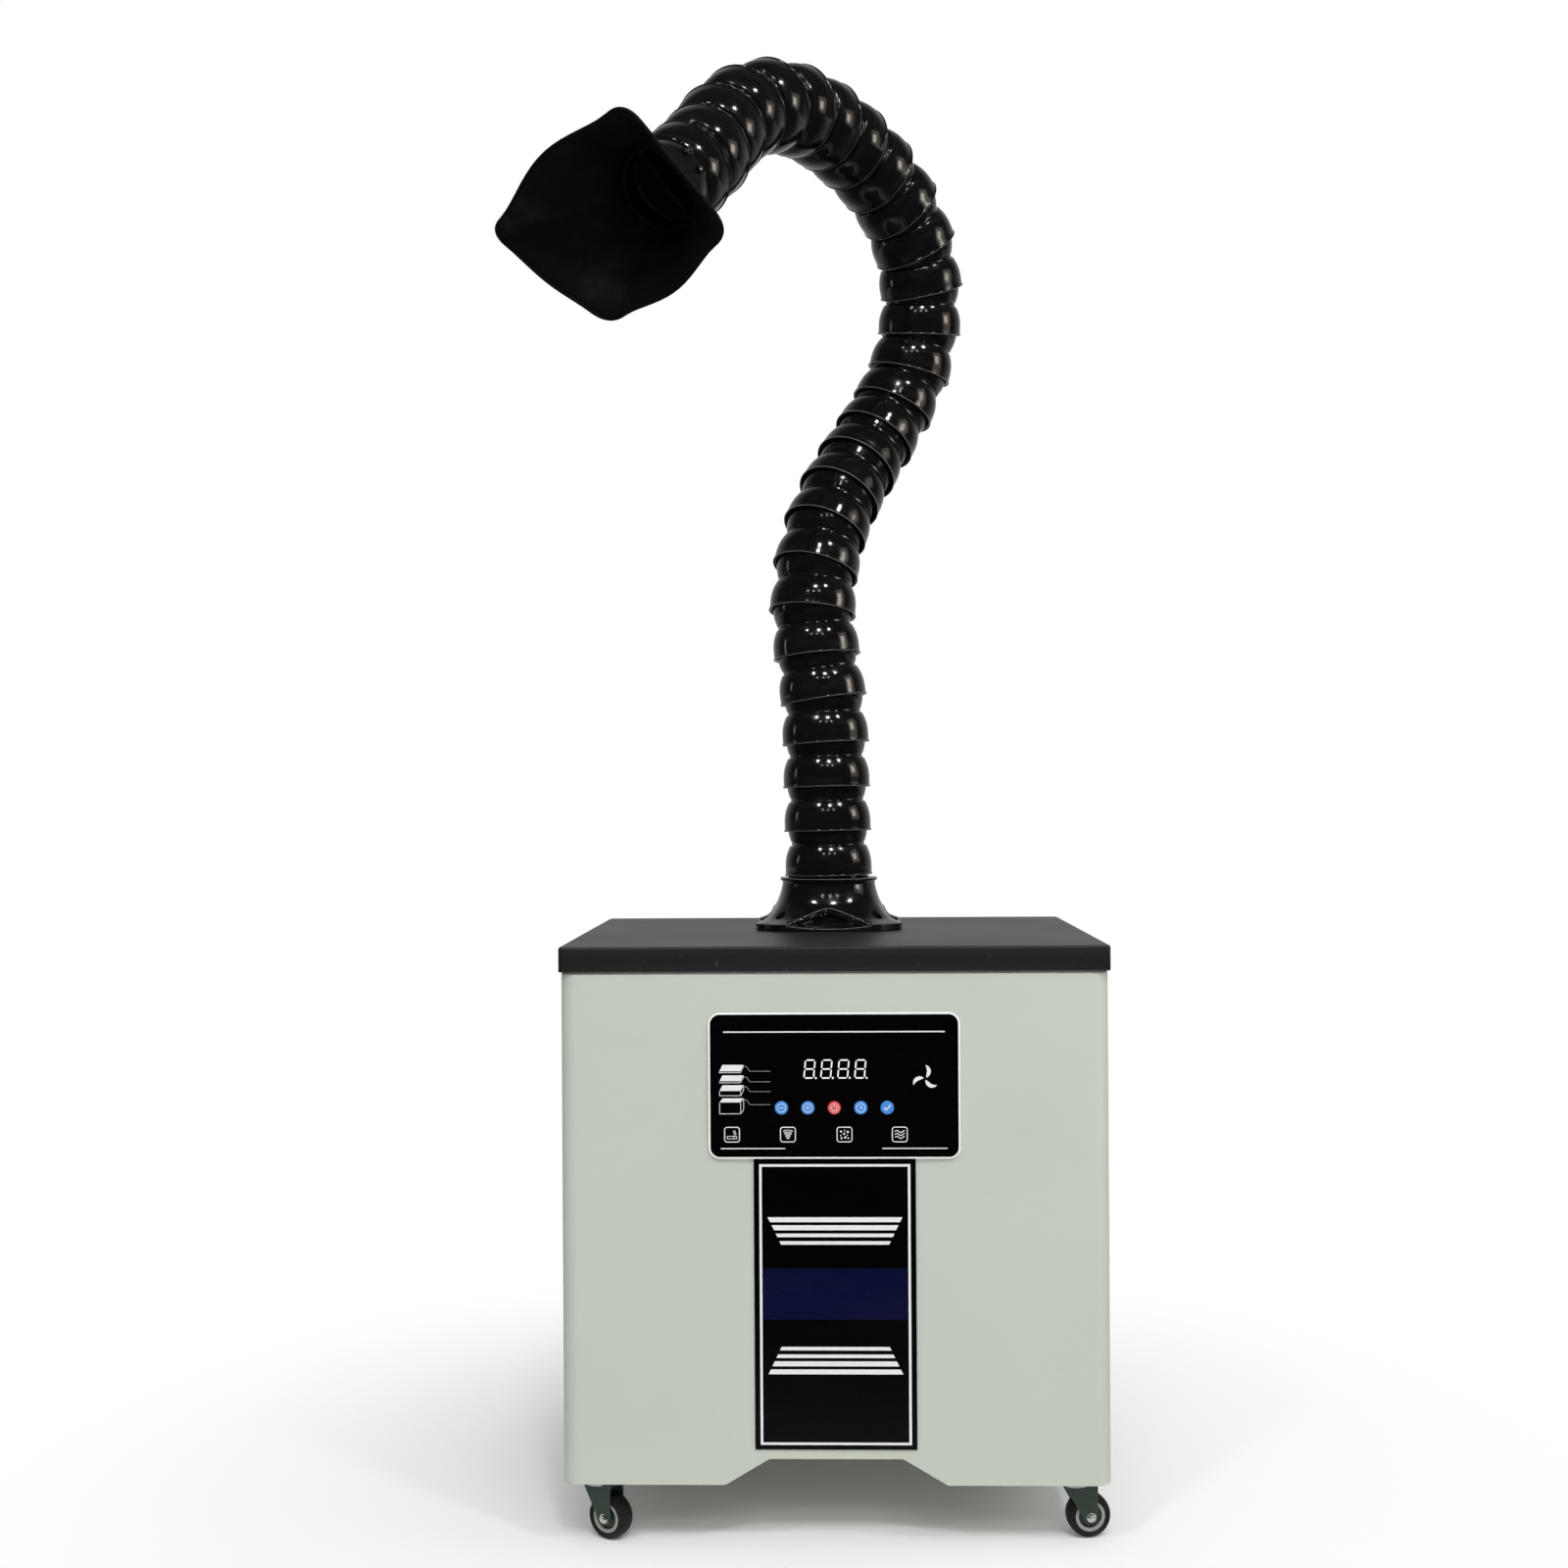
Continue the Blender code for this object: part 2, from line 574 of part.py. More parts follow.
def wheel_mesh(tyre):
    """Wheel about its own axle along Y; its flats, not its corners, meet the floor."""
    full = 1 / math.cos(math.pi / WHEEL_SIDES)
    half = WHEEL_WIDTH / 2
    face = [(AXLE_RADIUS + 2 * GAP, -half), (HUB_RADIUS, -half),
            (WHEEL_RIM_RADIUS, WHEEL_DISH - half), (WHEEL_RIM_RADIUS, -half),
            ((WHEEL_RADIUS - WHEEL_SHOULDER / 2) * full, -half),
            (WHEEL_RADIUS * full, WHEEL_SHOULDER - half)]
    wheel = turned(face + [(radius, -offset) for radius, offset in face[::-1]], WHEEL_SIDES)
    wheel.transform(TO_Y)
    return pattern_mesh(piece("caster_wheel", wheel, tyre, None))


def build_casters(root, metal, tyre):
    """Four swivel casters, each turned its own way."""
    fork_shape, wheel_shape = fork_mesh(metal), wheel_mesh(tyre)
    for (corner, x, y), turn in zip(caster_places(), CASTER_TURNS):
        swivel = holder(f"caster_swivel_{corner}", root, upright(x, y, 0, math.radians(turn)))
        piece(f"caster_fork_{corner}", fork_shape, metal, swivel)
        axle = holder(f"caster_axle_{corner}", swivel, upright(CASTER_TRAIL, 0, WHEEL_RADIUS))
        piece(f"caster_wheel_{corner}", wheel_shape, tyre, axle)


def build_filters(root, metal, media):
    """Shelf on the cabinet's walls and the four filters that stand on it, largest first."""
    width = CABINET_WIDTH - 2 * (SHEET + GAP)
    depth = CABINET_DEPTH - 2 * (SHEET + GAP)
    outside = rounded_rectangle(width, depth, CORNER_RADIUS - SHEET)
    inside = rounded_rectangle(width - 2 * SHELF_LEDGE, depth - 2 * SHELF_LEDGE,
                               CORNER_RADIUS - SHEET)
    high = SHELF_HEIGHT + SHELF_SHEET
    piece("filter_shelf", ring_body([at_height(outside, SHELF_HEIGHT), at_height(outside, high),
                                     at_height(inside, high), at_height(inside, SHELF_HEIGHT)]),
          metal, root)
    filter_length = CABINET_WIDTH - 2 * FILTER_SIDE_ROOM
    filter_depth = CABINET_DEPTH - 2 * FILTER_END_ROOM
    frame = rectangle(filter_length, filter_depth)
    window = rectangle(filter_length - 2 * FILTER_RIM, filter_depth - 2 * FILTER_RIM)
    carbon_height = FILTER_ROOM - sum(height + GAP for _, height in UPPER_FILTER_HEIGHTS) - GAP
    bottom = high + GAP
    for name, height in (("hepa_carbon_box", carbon_height), *UPPER_FILTER_HEIGHTS):
        top = bottom + height
        piece(name, solid([at_height(window, bottom + FILTER_RECESS), at_height(window, bottom),
                           at_height(frame, bottom), at_height(frame, top),
                           at_height(window, top), at_height(window, top - FILTER_RECESS)]),
              media[name], root)
        bottom = top + GAP


def scroll_outline(inset, outlet_end):
    """The fan housing's snail shape about the fan's axis, with its outlet towards +Y."""
    sweep = math.tau - HOUSING_START_ANGLE
    points = []
    for step in range(HOUSING_STEPS + 1):
        share = step / HOUSING_STEPS
        radius = HOUSING_START_RADIUS + HOUSING_GROWTH * share - inset
        angle = HOUSING_START_ANGLE + sweep * share
        points.append((radius * math.cos(angle), FAN_Y + radius * math.sin(angle)))
    right = HOUSING_START_RADIUS + HOUSING_GROWTH - inset
    left = HOUSING_START_RADIUS + HOUSING_GROWTH - OUTLET_WIDTH + inset
    return points + [(right, outlet_end), (left, outlet_end)]


def build_fan(root, steel, plastic, motor_paint):
    """Scroll housing on the pan, motor on its floor, impeller on the motor's shaft."""
    top = HOUSING_BOTTOM + HOUSING_HEIGHT
    outlet = REAR - SHEET - GAP
    outside = scroll_outline(0, outlet)
    housing = piece("blower_housing", solid([at_height(outside, HOUSING_BOTTOM),
                                             at_height(outside, top)]), steel, root)
    inside = scroll_outline(HOUSING_SHEET, outlet + OVERRUN)
    floor = HOUSING_BOTTOM + HOUSING_SHEET
    intake = circle(INTAKE_RADIUS, 24, 0, FAN_Y)
    shape_with(housing, "DIFFERENCE", [
        solid([at_height(inside, floor), at_height(inside, top - HOUSING_SHEET)]),
        solid([at_height(intake, floor + OVERRUN), at_height(intake, top + OVERRUN)])])

    motor_bottom = floor + GAP
    motor_top = motor_bottom + MOTOR_HEIGHT
    rings = ((MOTOR_RADIUS, motor_bottom), (MOTOR_RADIUS, motor_top), (SHAFT_RADIUS, motor_top),
             (SHAFT_RADIUS, motor_top + SHAFT_LENGTH))
    piece("blower_motor", solid([at_height(circle(radius, 20, 0, FAN_Y), z) for radius, z in rings]),
          motor_paint, root)

    spin = holder("impeller_axis", root, upright(0, FAN_Y, motor_top + IMPELLER_CLEARANCE))
    hub_top = SHAFT_LENGTH - IMPELLER_CLEARANCE + IMPELLER_DISC
    bore = SHAFT_RADIUS + GAP
    wheel = turned([(bore, 0), (IMPELLER_RADIUS, 0), (IMPELLER_RADIUS, IMPELLER_DISC),
                    (IMPELLER_HUB_RADIUS, IMPELLER_DISC), (IMPELLER_HUB_RADIUS, hub_top),
                    (bore, hub_top)], 28)
    impeller = piece("blower_impeller", wheel, plastic, spin)
    shroud = turned([(IMPELLER_EYE_RADIUS, IMPELLER_HEIGHT - IMPELLER_DISC),
                     (IMPELLER_RADIUS, IMPELLER_HEIGHT - IMPELLER_DISC),
                     (IMPELLER_RADIUS, IMPELLER_HEIGHT), (IMPELLER_EYE_RADIUS, IMPELLER_HEIGHT)], 28)
    blades = []
    chord = (IMPELLER_RADIUS - IMPELLER_EYE_RADIUS) / 2
    for number in range(BLADE_COUNT):
        blade = block((-chord, -BLADE_THICKNESS / 2, IMPELLER_DISC / 2),
                      (chord, BLADE_THICKNESS / 2, IMPELLER_HEIGHT - IMPELLER_DISC / 2))
        blade.transform(Matrix.Rotation(math.tau * number / BLADE_COUNT, 4, "Z")
                        @ Matrix.Translation((IMPELLER_RADIUS - 1.1 * chord, 0, 0))
                        @ Matrix.Rotation(BLADE_SWEEP, 4, "Z"))
        blades.append(blade)
    shape_with(impeller, "UNION", blades + [shroud])


def cut_corner_reach(turn):
    """How far the flange's cut-cornered foot reaches in a direction."""
    across, along = abs(math.cos(turn)), abs(math.sin(turn))
    corner = (FLANGE_WIDTH - FLANGE_CUT_CORNER) / (across + along)
    return min(FLANGE_WIDTH / 2 / max(across, along), corner)


def build_flange(carrier, plastic):
    """The arm's moulded foot: its top is a lip round the first ball."""
    turns = [math.tau * side / FLANGE_SIDES for side in range(FLANGE_SIDES)]

    def swept(share, z):
        reaches = [FLANGE_NECK_RADIUS + share * (cut_corner_reach(turn) - FLANGE_NECK_RADIUS)
                   for turn in turns]
        return [(reach * math.cos(turn), reach * math.sin(turn), z)
                for reach, turn in zip(reaches, turns)]

    ball_middle = FLANGE_HEIGHT + RIM_STANDOFF + RIM_DROP
    lip_angle = -math.asin((RIM_STANDOFF + RIM_DROP) / BALL_RADIUS)
    top_angle = math.asin(BALL_TOP / BALL_RADIUS)
    rings = [at_height(circle(BORE_RADIUS, FLANGE_SIDES), 0), swept(1, 0), swept(1, FLANGE_FOOT)]
    rings += [swept(share, height * FLANGE_HEIGHT) for share, height in FLANGE_SWEEP_SHARES]
    rings.append(swept(0, FLANGE_HEIGHT - FLANGE_LIP))
    for radius, z in ((FLANGE_LIP_RADIUS, FLANGE_HEIGHT - FLANGE_LIP),
                      (FLANGE_LIP_RADIUS, FLANGE_HEIGHT),
                      *((BALL_RADIUS * math.cos(angle), ball_middle + BALL_RADIUS * math.sin(angle))
                        for angle in (lip_angle, (lip_angle + top_angle) / 2, top_angle)),
                      (BORE_RADIUS, ball_middle + BALL_TOP)):
        rings.append(at_height(circle(radius, FLANGE_SIDES), z))
    flange = piece("arm_flange", ring_body(rings), plastic, carrier,
                   upright(-FLANGE_LEFT, FLANGE_BACK, LID_TOP + GAP))
    slots = []
    for corner in range(4):
        outline = rounded_rectangle(FLANGE_SLOT_WIDTH, FLANGE_SLOT_LENGTH, FLANGE_SLOT_WIDTH / 2)
        slot = solid([at_height(outline, -OVERRUN), at_height(outline, FLANGE_HEIGHT)])
        slot.transform(Matrix.Rotation((corner + 0.5) * math.pi / 2, 4, "Z")
                       @ Matrix.Translation((FLANGE_SLOT_REACH, 0, 0)))
        slots.append(slot)
    shape_with(flange, "DIFFERENCE", slots)


def socket_profile():
    """Inner wall of a socket, from its roof down to the rim, clear of a faceted ball."""
    step = (SOCKET_ANGLES[0] - SOCKET_ANGLES[-1]) / (len(SOCKET_ANGLES) - 1)
    radius = (BALL_RADIUS + GAP) / (math.cos(math.pi / BELL_SIDES) * math.cos(step / 2))
    points = [(radius * math.cos(angle), radius * math.sin(angle)) for angle in SOCKET_ANGLES[:-1]]
    return points + [(math.sqrt(radius ** 2 - RIM_DROP ** 2), -RIM_DROP)]


def skirt_profile():
    """Outer wall of a bell or collar, from its rim up to the step above the dome."""
    return [(RIM_RADIUS, -RIM_DROP), (SKIRT_RADIUS, SKIRT_HEIGHT), (DOME_RADIUS, DOME_HEIGHT),
            (STEP_RADIUS, STEP_HEIGHT)]


def bell_mesh(plastic):
    """One bell: a skirt round the ball below and its own ball above.

    The ball is turned by half a side, so that its corners face the flats of the next socket.
    """
    rings = [at_height(circle(radius, BELL_SIDES), z) for radius, z in skirt_profile()]
    for angle in (-math.asin(BALL_FOOT / BALL_RADIUS), 0, math.asin(BALL_TOP / BALL_RADIUS)):
        outline = circle(BALL_RADIUS * math.cos(angle), BELL_SIDES, phase=0.5)
        rings.append(at_height(outline, BELL_PITCH + BALL_RADIUS * math.sin(angle)))
    rings.append(at_height(circle(BORE_RADIUS, BELL_SIDES), BELL_PITCH + BALL_TOP))
    rings += [at_height(circle(radius, BELL_SIDES), z) for radius, z in socket_profile()]
    return pattern_mesh(piece("arm_bell", ring_body(rings), plastic, None))


def build_arm(carrier, plastic):
    """The chain of bells, each bent from the last without a twist; returns the last ball's centre."""
    shape = bell_mesh(plastic)
    joint = ARM_BASE.copy()
    previous = Vector((0, 0, 1))
    axes = Matrix.Identity(3)
    for number, pose in enumerate(ARM_POSE, start=1):
        direction = heading(pose)
        axes = previous.rotation_difference(direction).to_matrix() @ axes
        place = Matrix.Translation(joint) @ axes.to_4x4()
        axis = holder(f"arm_joint_{number:02d}", carrier, place)
        piece(f"arm_link_{number:02d}", shape, plastic, axis)
        joint += BELL_PITCH * direction
        previous = direction
    return joint


def mouth_outline():
    """The hood's mouth: two straight ends, two arched long edges, and drawn-out round corners."""
    corners = [Vector((across * MOUTH_LENGTH / 2, along * MOUTH_WIDTH / 2))
               for across, along in MOUTH_CORNER_SHARES]
    points = []
    for number, corner in enumerate(corners):
        before, after = corners[number - 1], corners[(number + 1) % 4]
        enter = corner + (before - corner).normalized() * MOUTH_CORNER
        leave = corner + (after - corner).normalized() * MOUTH_CORNER
        for share in (0.0, 0.33, 0.67, 1.0):
            rest = 1 - share
            points.append(rest * rest * enter + 2 * rest * share * corner + share * share * leave)
        goal = after + (corner - after).normalized() * MOUTH_CORNER
        outward = Vector((after.y - corner.y, corner.x - after.x)).normalized()
        bulge = MOUTH_BULGE if number % 2 else 0
        for step in range(1, MOUTH_EDGE_STEPS):
            share = step / MOUTH_EDGE_STEPS
            lift = bulge * math.sin(math.pi * share) ** 1.5
            points.append(leave.lerp(goal, share) + lift * outward)
    return points


def build_hood(carrier, gloss, matt, grey):
    """Collar, hood, and the damper with its knob, all in the collar's frame."""
    profile = skirt_profile() + [(STEP_RADIUS, COLLAR_LENGTH), (BORE_RADIUS, COLLAR_LENGTH)]
    collar = piece("hood_collar", turned(profile + socket_profile(), BELL_SIDES), gloss, carrier)
    additions = []
    for side in (-1, 1):
        boss = bar(BOSS_RADIUS, STEP_RADIUS - OVERRUN / 2, STEP_RADIUS + BOSS_HEIGHT, 10, TO_X)
        boss.transform(Matrix.Rotation(side * BOSS_ANGLE, 4, "Z")
                       @ Matrix.Translation((0, 0, BOSS_PLACE)))
        additions.append(boss)
    stem_end = STEP_RADIUS + STEM_LENGTH
    lift = Matrix.Translation((0, 0, DAMPER_PLACE))
    stem = bar(STEM_RADIUS, -stem_end, OVERRUN / 2 - STEP_RADIUS, 12, TO_Y)
    stem.transform(lift)
    shape_with(collar, "UNION", additions + [stem])
    hole = bar(DAMPER_SHAFT_RADIUS + GAP, -stem_end - OVERRUN, STEP_RADIUS + OVERRUN, 12, TO_Y)
    hole.transform(lift)
    shape_with(collar, "DIFFERENCE", [hole])

    mouth = mouth_outline()
    depth = HOOD_REACH - COLLAR_LENGTH - GAP
    rings = []
    for along, spread in HOOD_RING_SHARES:
        z = COLLAR_LENGTH + GAP + along * depth
        ring = []
        for point in mouth:
            at_neck = point.normalized() * HOOD_NECK_RADIUS
            ring.append((*at_neck.lerp(point, spread), z))
        rings.append(ring)
    hood = piece("fume_hood", skin(rings, closed=False)[0], matt, carrier)
    wall = hood.modifiers.new("Wall", "SOLIDIFY")
    wall.thickness = HOOD_WALL
    wall.offset = -1
    wall.use_even_offset = True

    turning = holder("damper_axis", carrier, upright(0, 0, DAMPER_PLACE))
    blade = bar(DAMPER_RADIUS, -DAMPER_THICKNESS / 2, DAMPER_THICKNESS / 2, 28, TO_X)
    flap = piece("damper_flap", blade, grey, turning)
    shaft_end = stem_end + KNOB_GRIP
    shape_with(flap, "UNION", [bar(DAMPER_SHAFT_RADIUS, -shaft_end, STEP_RADIUS, 12, TO_Y)])
    knob = piece("damper_knob", bar(KNOB_RADIUS, -stem_end - KNOB_LENGTH, -stem_end - GAP, 16, TO_Y),
                 grey, turning)
    shape_with(knob, "DIFFERENCE", [bar(DAMPER_SHAFT_RADIUS + GAP, -shaft_end - GAP,
                                        -stem_end + OVERRUN, 12, TO_Y)])


def centre_on_floor(root):
    """Move the whole assembly so that its bounding box stands centred on the origin."""
    bpy.context.view_layer.update()
    graph = bpy.context.evaluated_depsgraph_get()
    corners = []
    for thing in bpy.data.objects:
        if thing.type == "MESH" and not thing.hide_render:
            shown = thing.evaluated_get(graph)
            mesh = shown.to_mesh()
            corners += [shown.matrix_world @ vertex.co for vertex in mesh.vertices]
            shown.to_mesh_clear()
    middle_x = (min(point.x for point in corners) + max(point.x for point in corners)) / 2
    middle_y = (min(point.y for point in corners) + max(point.y for point in corners)) / 2
    root.location = (-middle_x, -middle_y, 0)


def build():
    for thing in list(bpy.data.objects):
        bpy.data.objects.remove(thing)
    cabinet_paint = finish("cabinet_paint", (0.510, 0.552, 0.491), 0.5)
    lid_paint = finish("lid_paint", (0.012, 0.014, 0.015), 0.42)
    gloss = finish("gloss_black_plastic", (0.008, 0.008, 0.009), 0.16)
    matt = finish("matt_black_plastic", (0.006, 0.006, 0.006), 0.65)
    grey = finish("knob_plastic", (0.060, 0.060, 0.058), 0.5)
    dark = finish("fascia_film", (0.010, 0.012, 0.020), 0.30)
    blue = finish("blue_key", (0.020, 0.100, 0.420), 0.35)
    red = finish("red_key", (0.520, 0.020, 0.020), 0.35)
    plate = finish("plate_film", (0.004, 0.004, 0.005), 0.35)
    green = finish("caster_enamel", (0.016, 0.040, 0.030), 0.38)
    tyre = finish("tyre_rubber", (0.012, 0.012, 0.012), 0.75)
    foam = finish("gasket_foam", (0.020, 0.020, 0.020), 0.9)
    steel = finish("zinc_steel", (0.550, 0.560, 0.570), 0.4, 1.0)
    fan_plastic = finish("impeller_plastic", (0.030, 0.030, 0.032), 0.5)
    motor_paint = finish("motor_paint", (0.080, 0.080, 0.085), 0.45)
    media = {
        "hepa_carbon_box": finish("carbon_box", (0.180, 0.180, 0.175), 0.6),
        "medium_filter": finish("medium_media", (0.680, 0.670, 0.620), 0.85),
        "primary_filter": finish("primary_media", (0.600, 0.640, 0.680), 0.85),
        "washable_prefilter": finish("prefilter_mesh", (0.250, 0.250, 0.260), 0.6),
    }

    root = holder("extractor", None)
    build_cabinet_shell(root, cabinet_paint)
    build_rear_panel(root, cabinet_paint)
    build_base_plate(root, cabinet_paint)
    build_power_inlet(root, matt)
    build_front_fittings(root, dark, blue, red, plate)
    build_casters(root, green, tyre)
    build_filters(root, steel, media)
    build_fan(root, steel, fan_plastic, motor_paint)
    lid_carrier = holder("lid_carrier", root)
    build_lid(lid_carrier, lid_paint, foam)
    build_flange(lid_carrier, gloss)
    last_ball = build_arm(lid_carrier, gloss)
    collar_place = Matrix.Translation(last_ball) @ level_along(heading(HOOD_POSE), HOOD_ROLL)
    build_hood(holder("hood_axis", lid_carrier, collar_place), gloss, matt, grey)
    centre_on_floor(root)


build()
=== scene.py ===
"""Solder fume extractor: a steel filter cabinet on casters, with a jointed suction arm on its lid.

Metres, +Z up, front towards -Y. Each piece is made where the cabinet's own middle is the origin.
"""
import json
import math

import bmesh
import bpy
from mathutils import Matrix, Vector


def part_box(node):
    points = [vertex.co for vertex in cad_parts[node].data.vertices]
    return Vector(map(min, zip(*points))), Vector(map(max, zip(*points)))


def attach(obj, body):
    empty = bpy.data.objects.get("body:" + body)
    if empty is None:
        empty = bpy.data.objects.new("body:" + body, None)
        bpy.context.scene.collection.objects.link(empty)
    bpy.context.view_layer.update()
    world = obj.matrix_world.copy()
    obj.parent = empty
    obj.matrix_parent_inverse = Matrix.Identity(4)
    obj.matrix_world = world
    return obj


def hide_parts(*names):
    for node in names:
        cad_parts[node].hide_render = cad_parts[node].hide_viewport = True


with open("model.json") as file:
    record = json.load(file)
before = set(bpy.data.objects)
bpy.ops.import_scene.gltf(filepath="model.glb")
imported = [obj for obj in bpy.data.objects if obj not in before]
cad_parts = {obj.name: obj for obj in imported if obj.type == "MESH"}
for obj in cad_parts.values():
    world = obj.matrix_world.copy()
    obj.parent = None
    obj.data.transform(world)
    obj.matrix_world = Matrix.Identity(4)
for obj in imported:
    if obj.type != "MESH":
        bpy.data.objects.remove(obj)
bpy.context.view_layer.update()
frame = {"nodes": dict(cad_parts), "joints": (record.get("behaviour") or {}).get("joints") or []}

# Camera: level, a little above the lid and square to the front but for a degree or two, with its
# frame shifted up, and the slight roll that the photograph has.
shell_low, shell_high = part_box("cabinet_shell")
panel_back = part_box("rear_panel")[1].y
middle = Matrix.Translation(((shell_low.x + shell_high.x) / 2, (shell_low.y + panel_back) / 2, 0))
camera_data = bpy.data.cameras.new("front_camera")
camera_data.sensor_width = 36.0
camera_data.lens = 42.2
camera_data.clip_start = 0.05
camera_data.shift_y = 0.0075
camera = bpy.data.objects.new("front_camera", camera_data)
bpy.context.collection.objects.link(camera)
camera_spot = Vector((-0.001, -1.799, 0.661))
camera_swing, camera_level, camera_roll = math.radians(1.47), math.radians(90), -0.0062
camera.matrix_world = (middle @ Matrix.Translation(camera_spot)
                       @ Matrix.Rotation(camera_swing, 4, "Z")
                       @ Matrix.Rotation(camera_level, 4, "X")
                       @ Matrix.Rotation(camera_roll, 4, "Z"))
bpy.context.scene.camera = camera
bpy.context.scene.view_settings.view_transform = "Standard"


# Floor: a plain pale matt studio floor. It keeps the object's shadow close by and runs out to
# plain white further off; gloss sees it dark in front and pale behind.
def add(tree, kind, feeds=(), **settings):
    """Add a shader node; feeds holds its sockets' values, or the sockets that feed them."""
    made = tree.nodes.new(kind)
    for setting, value in settings.items():
        setattr(made, setting, value)
    for socket, value in dict(feeds).items():
        if isinstance(value, bpy.types.NodeSocket):
            tree.links.new(value, made.inputs[socket])
        else:
            made.inputs[socket].default_value = value
    return made


def banded(tree, value, low, high, least=0.0, most=1.0):
    """Stretch a value's range from low..high to least..most, without going past either."""
    return add(tree, "ShaderNodeMapRange", {"Value": value, "From Min": low, "From Max": high,
                                            "To Min": least, "To Max": most}).outputs[0]


def backdrop(tree, depth, otherwise):
    """Light of the backdrop by kind of ray: white to the eye, by depth in gloss."""
    path = add(tree, "ShaderNodeLightPath").outputs
    eye = add(tree, "ShaderNodeMath", {0: path["Is Camera Ray"], 1: path["Is Transmission Ray"]},
              operation="MAXIMUM").outputs[0]
    light = add(tree, "ShaderNodeMix", {0: path["Is Glossy Ray"], 2: otherwise, 3: depth})
    return eye, add(tree, "ShaderNodeMix", {0: eye, 2: light.outputs[0], 3: 1.0}).outputs[0]


floor_radius, floor_sides = 14.0, 96
shadow_end, white_start = 0.12, 0.86
near_gloss, far_gloss = (0.5, 0.03), (3.0, 0.5)
floor_shape = bmesh.new()
bmesh.ops.create_circle(floor_shape, cap_ends=True, segments=floor_sides, radius=floor_radius)
floor_mesh = bpy.data.meshes.new("studio_floor")
floor_shape.to_mesh(floor_mesh)
floor_shape.free()
floor = bpy.data.objects.new("studio_floor", floor_mesh)
bpy.context.collection.objects.link(floor)
floor_white = bpy.data.materials.new("studio_floor_white")
floor_white.use_nodes = True
tree = floor_white.node_tree
paint = tree.nodes["Principled BSDF"]
paint.inputs["Base Color"].default_value = (0.93, 0.93, 0.93, 1)
paint.inputs["Roughness"].default_value = 0.9
paint.inputs["Specular IOR Level"].default_value = 0.0
place = add(tree, "ShaderNodeTexCoord").outputs["Object"]
distance = add(tree, "ShaderNodeVectorMath", {0: place}, operation="LENGTH")
depth = add(tree, "ShaderNodeSeparateXYZ", {0: place}).outputs["Y"]
eye, light = backdrop(tree, banded(tree, depth, near_gloss[0], far_gloss[0], near_gloss[1],
                                   far_gloss[1]), 0.0)
fade = add(tree, "ShaderNodeMapRange", {
    "Value": distance.outputs["Value"], "From Min": shadow_end, "From Max": white_start},
    interpolation_type="SMOOTHSTEP")
seen = add(tree, "ShaderNodeMath", {0: eye, 1: add(tree, "ShaderNodeLightPath").outputs[
    "Is Glossy Ray"]}, operation="MAXIMUM")
gate = add(tree, "ShaderNodeMath", {0: fade.outputs[0], 1: seen.outputs[0]},
           operation="MULTIPLY")
glow = add(tree, "ShaderNodeEmission", {"Color": (1, 1, 1, 1), "Strength": light})
mix = add(tree, "ShaderNodeMixShader", {0: gate.outputs[0], 1: paint.outputs[0],
                                        2: glow.outputs[0]})
tree.links.new(mix.outputs[0], tree.nodes["Material Output"].inputs["Surface"])
floor_mesh.materials.append(floor_white)

# Light: a soft even room that gloss sees as dim in front and white behind, two broad boxes, rows
# of small ceiling lamps that give the arm its bright points, and a tall window to the right.
world = bpy.data.worlds.new("studio")
bpy.context.scene.world = world
world.use_nodes = True
tree = world.node_tree
room = tree.nodes["Background"]
room.inputs["Color"].default_value = (1.0, 1.0, 1.0, 1)
ray = add(tree, "ShaderNodeTexCoord").outputs["Generated"]
way = add(tree, "ShaderNodeSeparateXYZ", {0: ray}).outputs
room_in_gloss = banded(tree, way["Y"], 0.30, 0.98, least=0.040, most=0.62)
room_on_matt = banded(tree, way["X"], -0.9, 0.9, least=0.26, most=0.48)
eye, light = backdrop(tree, room_in_gloss, room_on_matt)
tree.links.new(light, room.inputs["Strength"])


def lamp(name, bearing, height, distance, size, radiance, tint=(1, 1, 1), tall=None,
         in_gloss=True, on_matt=True):
    """An area lamp aimed at the arm; bearing in degrees to the right of the camera's side."""
    data = bpy.data.lights.new(name, "AREA")
    data.shape = "RECTANGLE"
    data.size = size
    data.size_y = tall or size
    data.color = tint
    data.energy = radiance * math.pi * data.size * data.size_y
    thing = bpy.data.objects.new(name, data)
    bpy.context.collection.objects.link(thing)
    turn = math.radians(bearing)
    spot = Vector((distance * math.sin(turn), -distance * math.cos(turn), height))
    thing.matrix_world = (middle @ Matrix.Translation(spot)
                          @ (spot - lamp_aim).to_track_quat("Z", "Y").to_matrix().to_4x4())
    thing.visible_camera = False
    thing.visible_glossy = in_gloss
    thing.visible_diffuse = on_matt


lamp_aim = Vector((0, 0.05, 0.80))
lamp("front_box", bearing=16, height=3.3, distance=2.9, size=2.4, radiance=2.05, in_gloss=False)
lamp("overhead_box", bearing=0, height=4.2, distance=0.6, size=2.4, radiance=1.1, in_gloss=False)
for name, bearing, radiance in (("left", -30, 62), ("middle", 9, 74), ("right", 45, 62)):
    lamp(f"near_lamp_{name}", bearing, height=4.3, distance=3.5, size=0.44, radiance=radiance)
for name, bearing, radiance in (("left", -14, 20), ("middle", 3, 18), ("right", 19, 22)):
    lamp(f"far_lamp_{name}", bearing, height=4.6, distance=6.0, size=0.36, radiance=radiance)
lamp("right_window", bearing=79, height=1.68, distance=3.2, size=0.66, radiance=6.4,
     tint=(1.0, 0.93, 0.85), tall=0.84, on_matt=False)
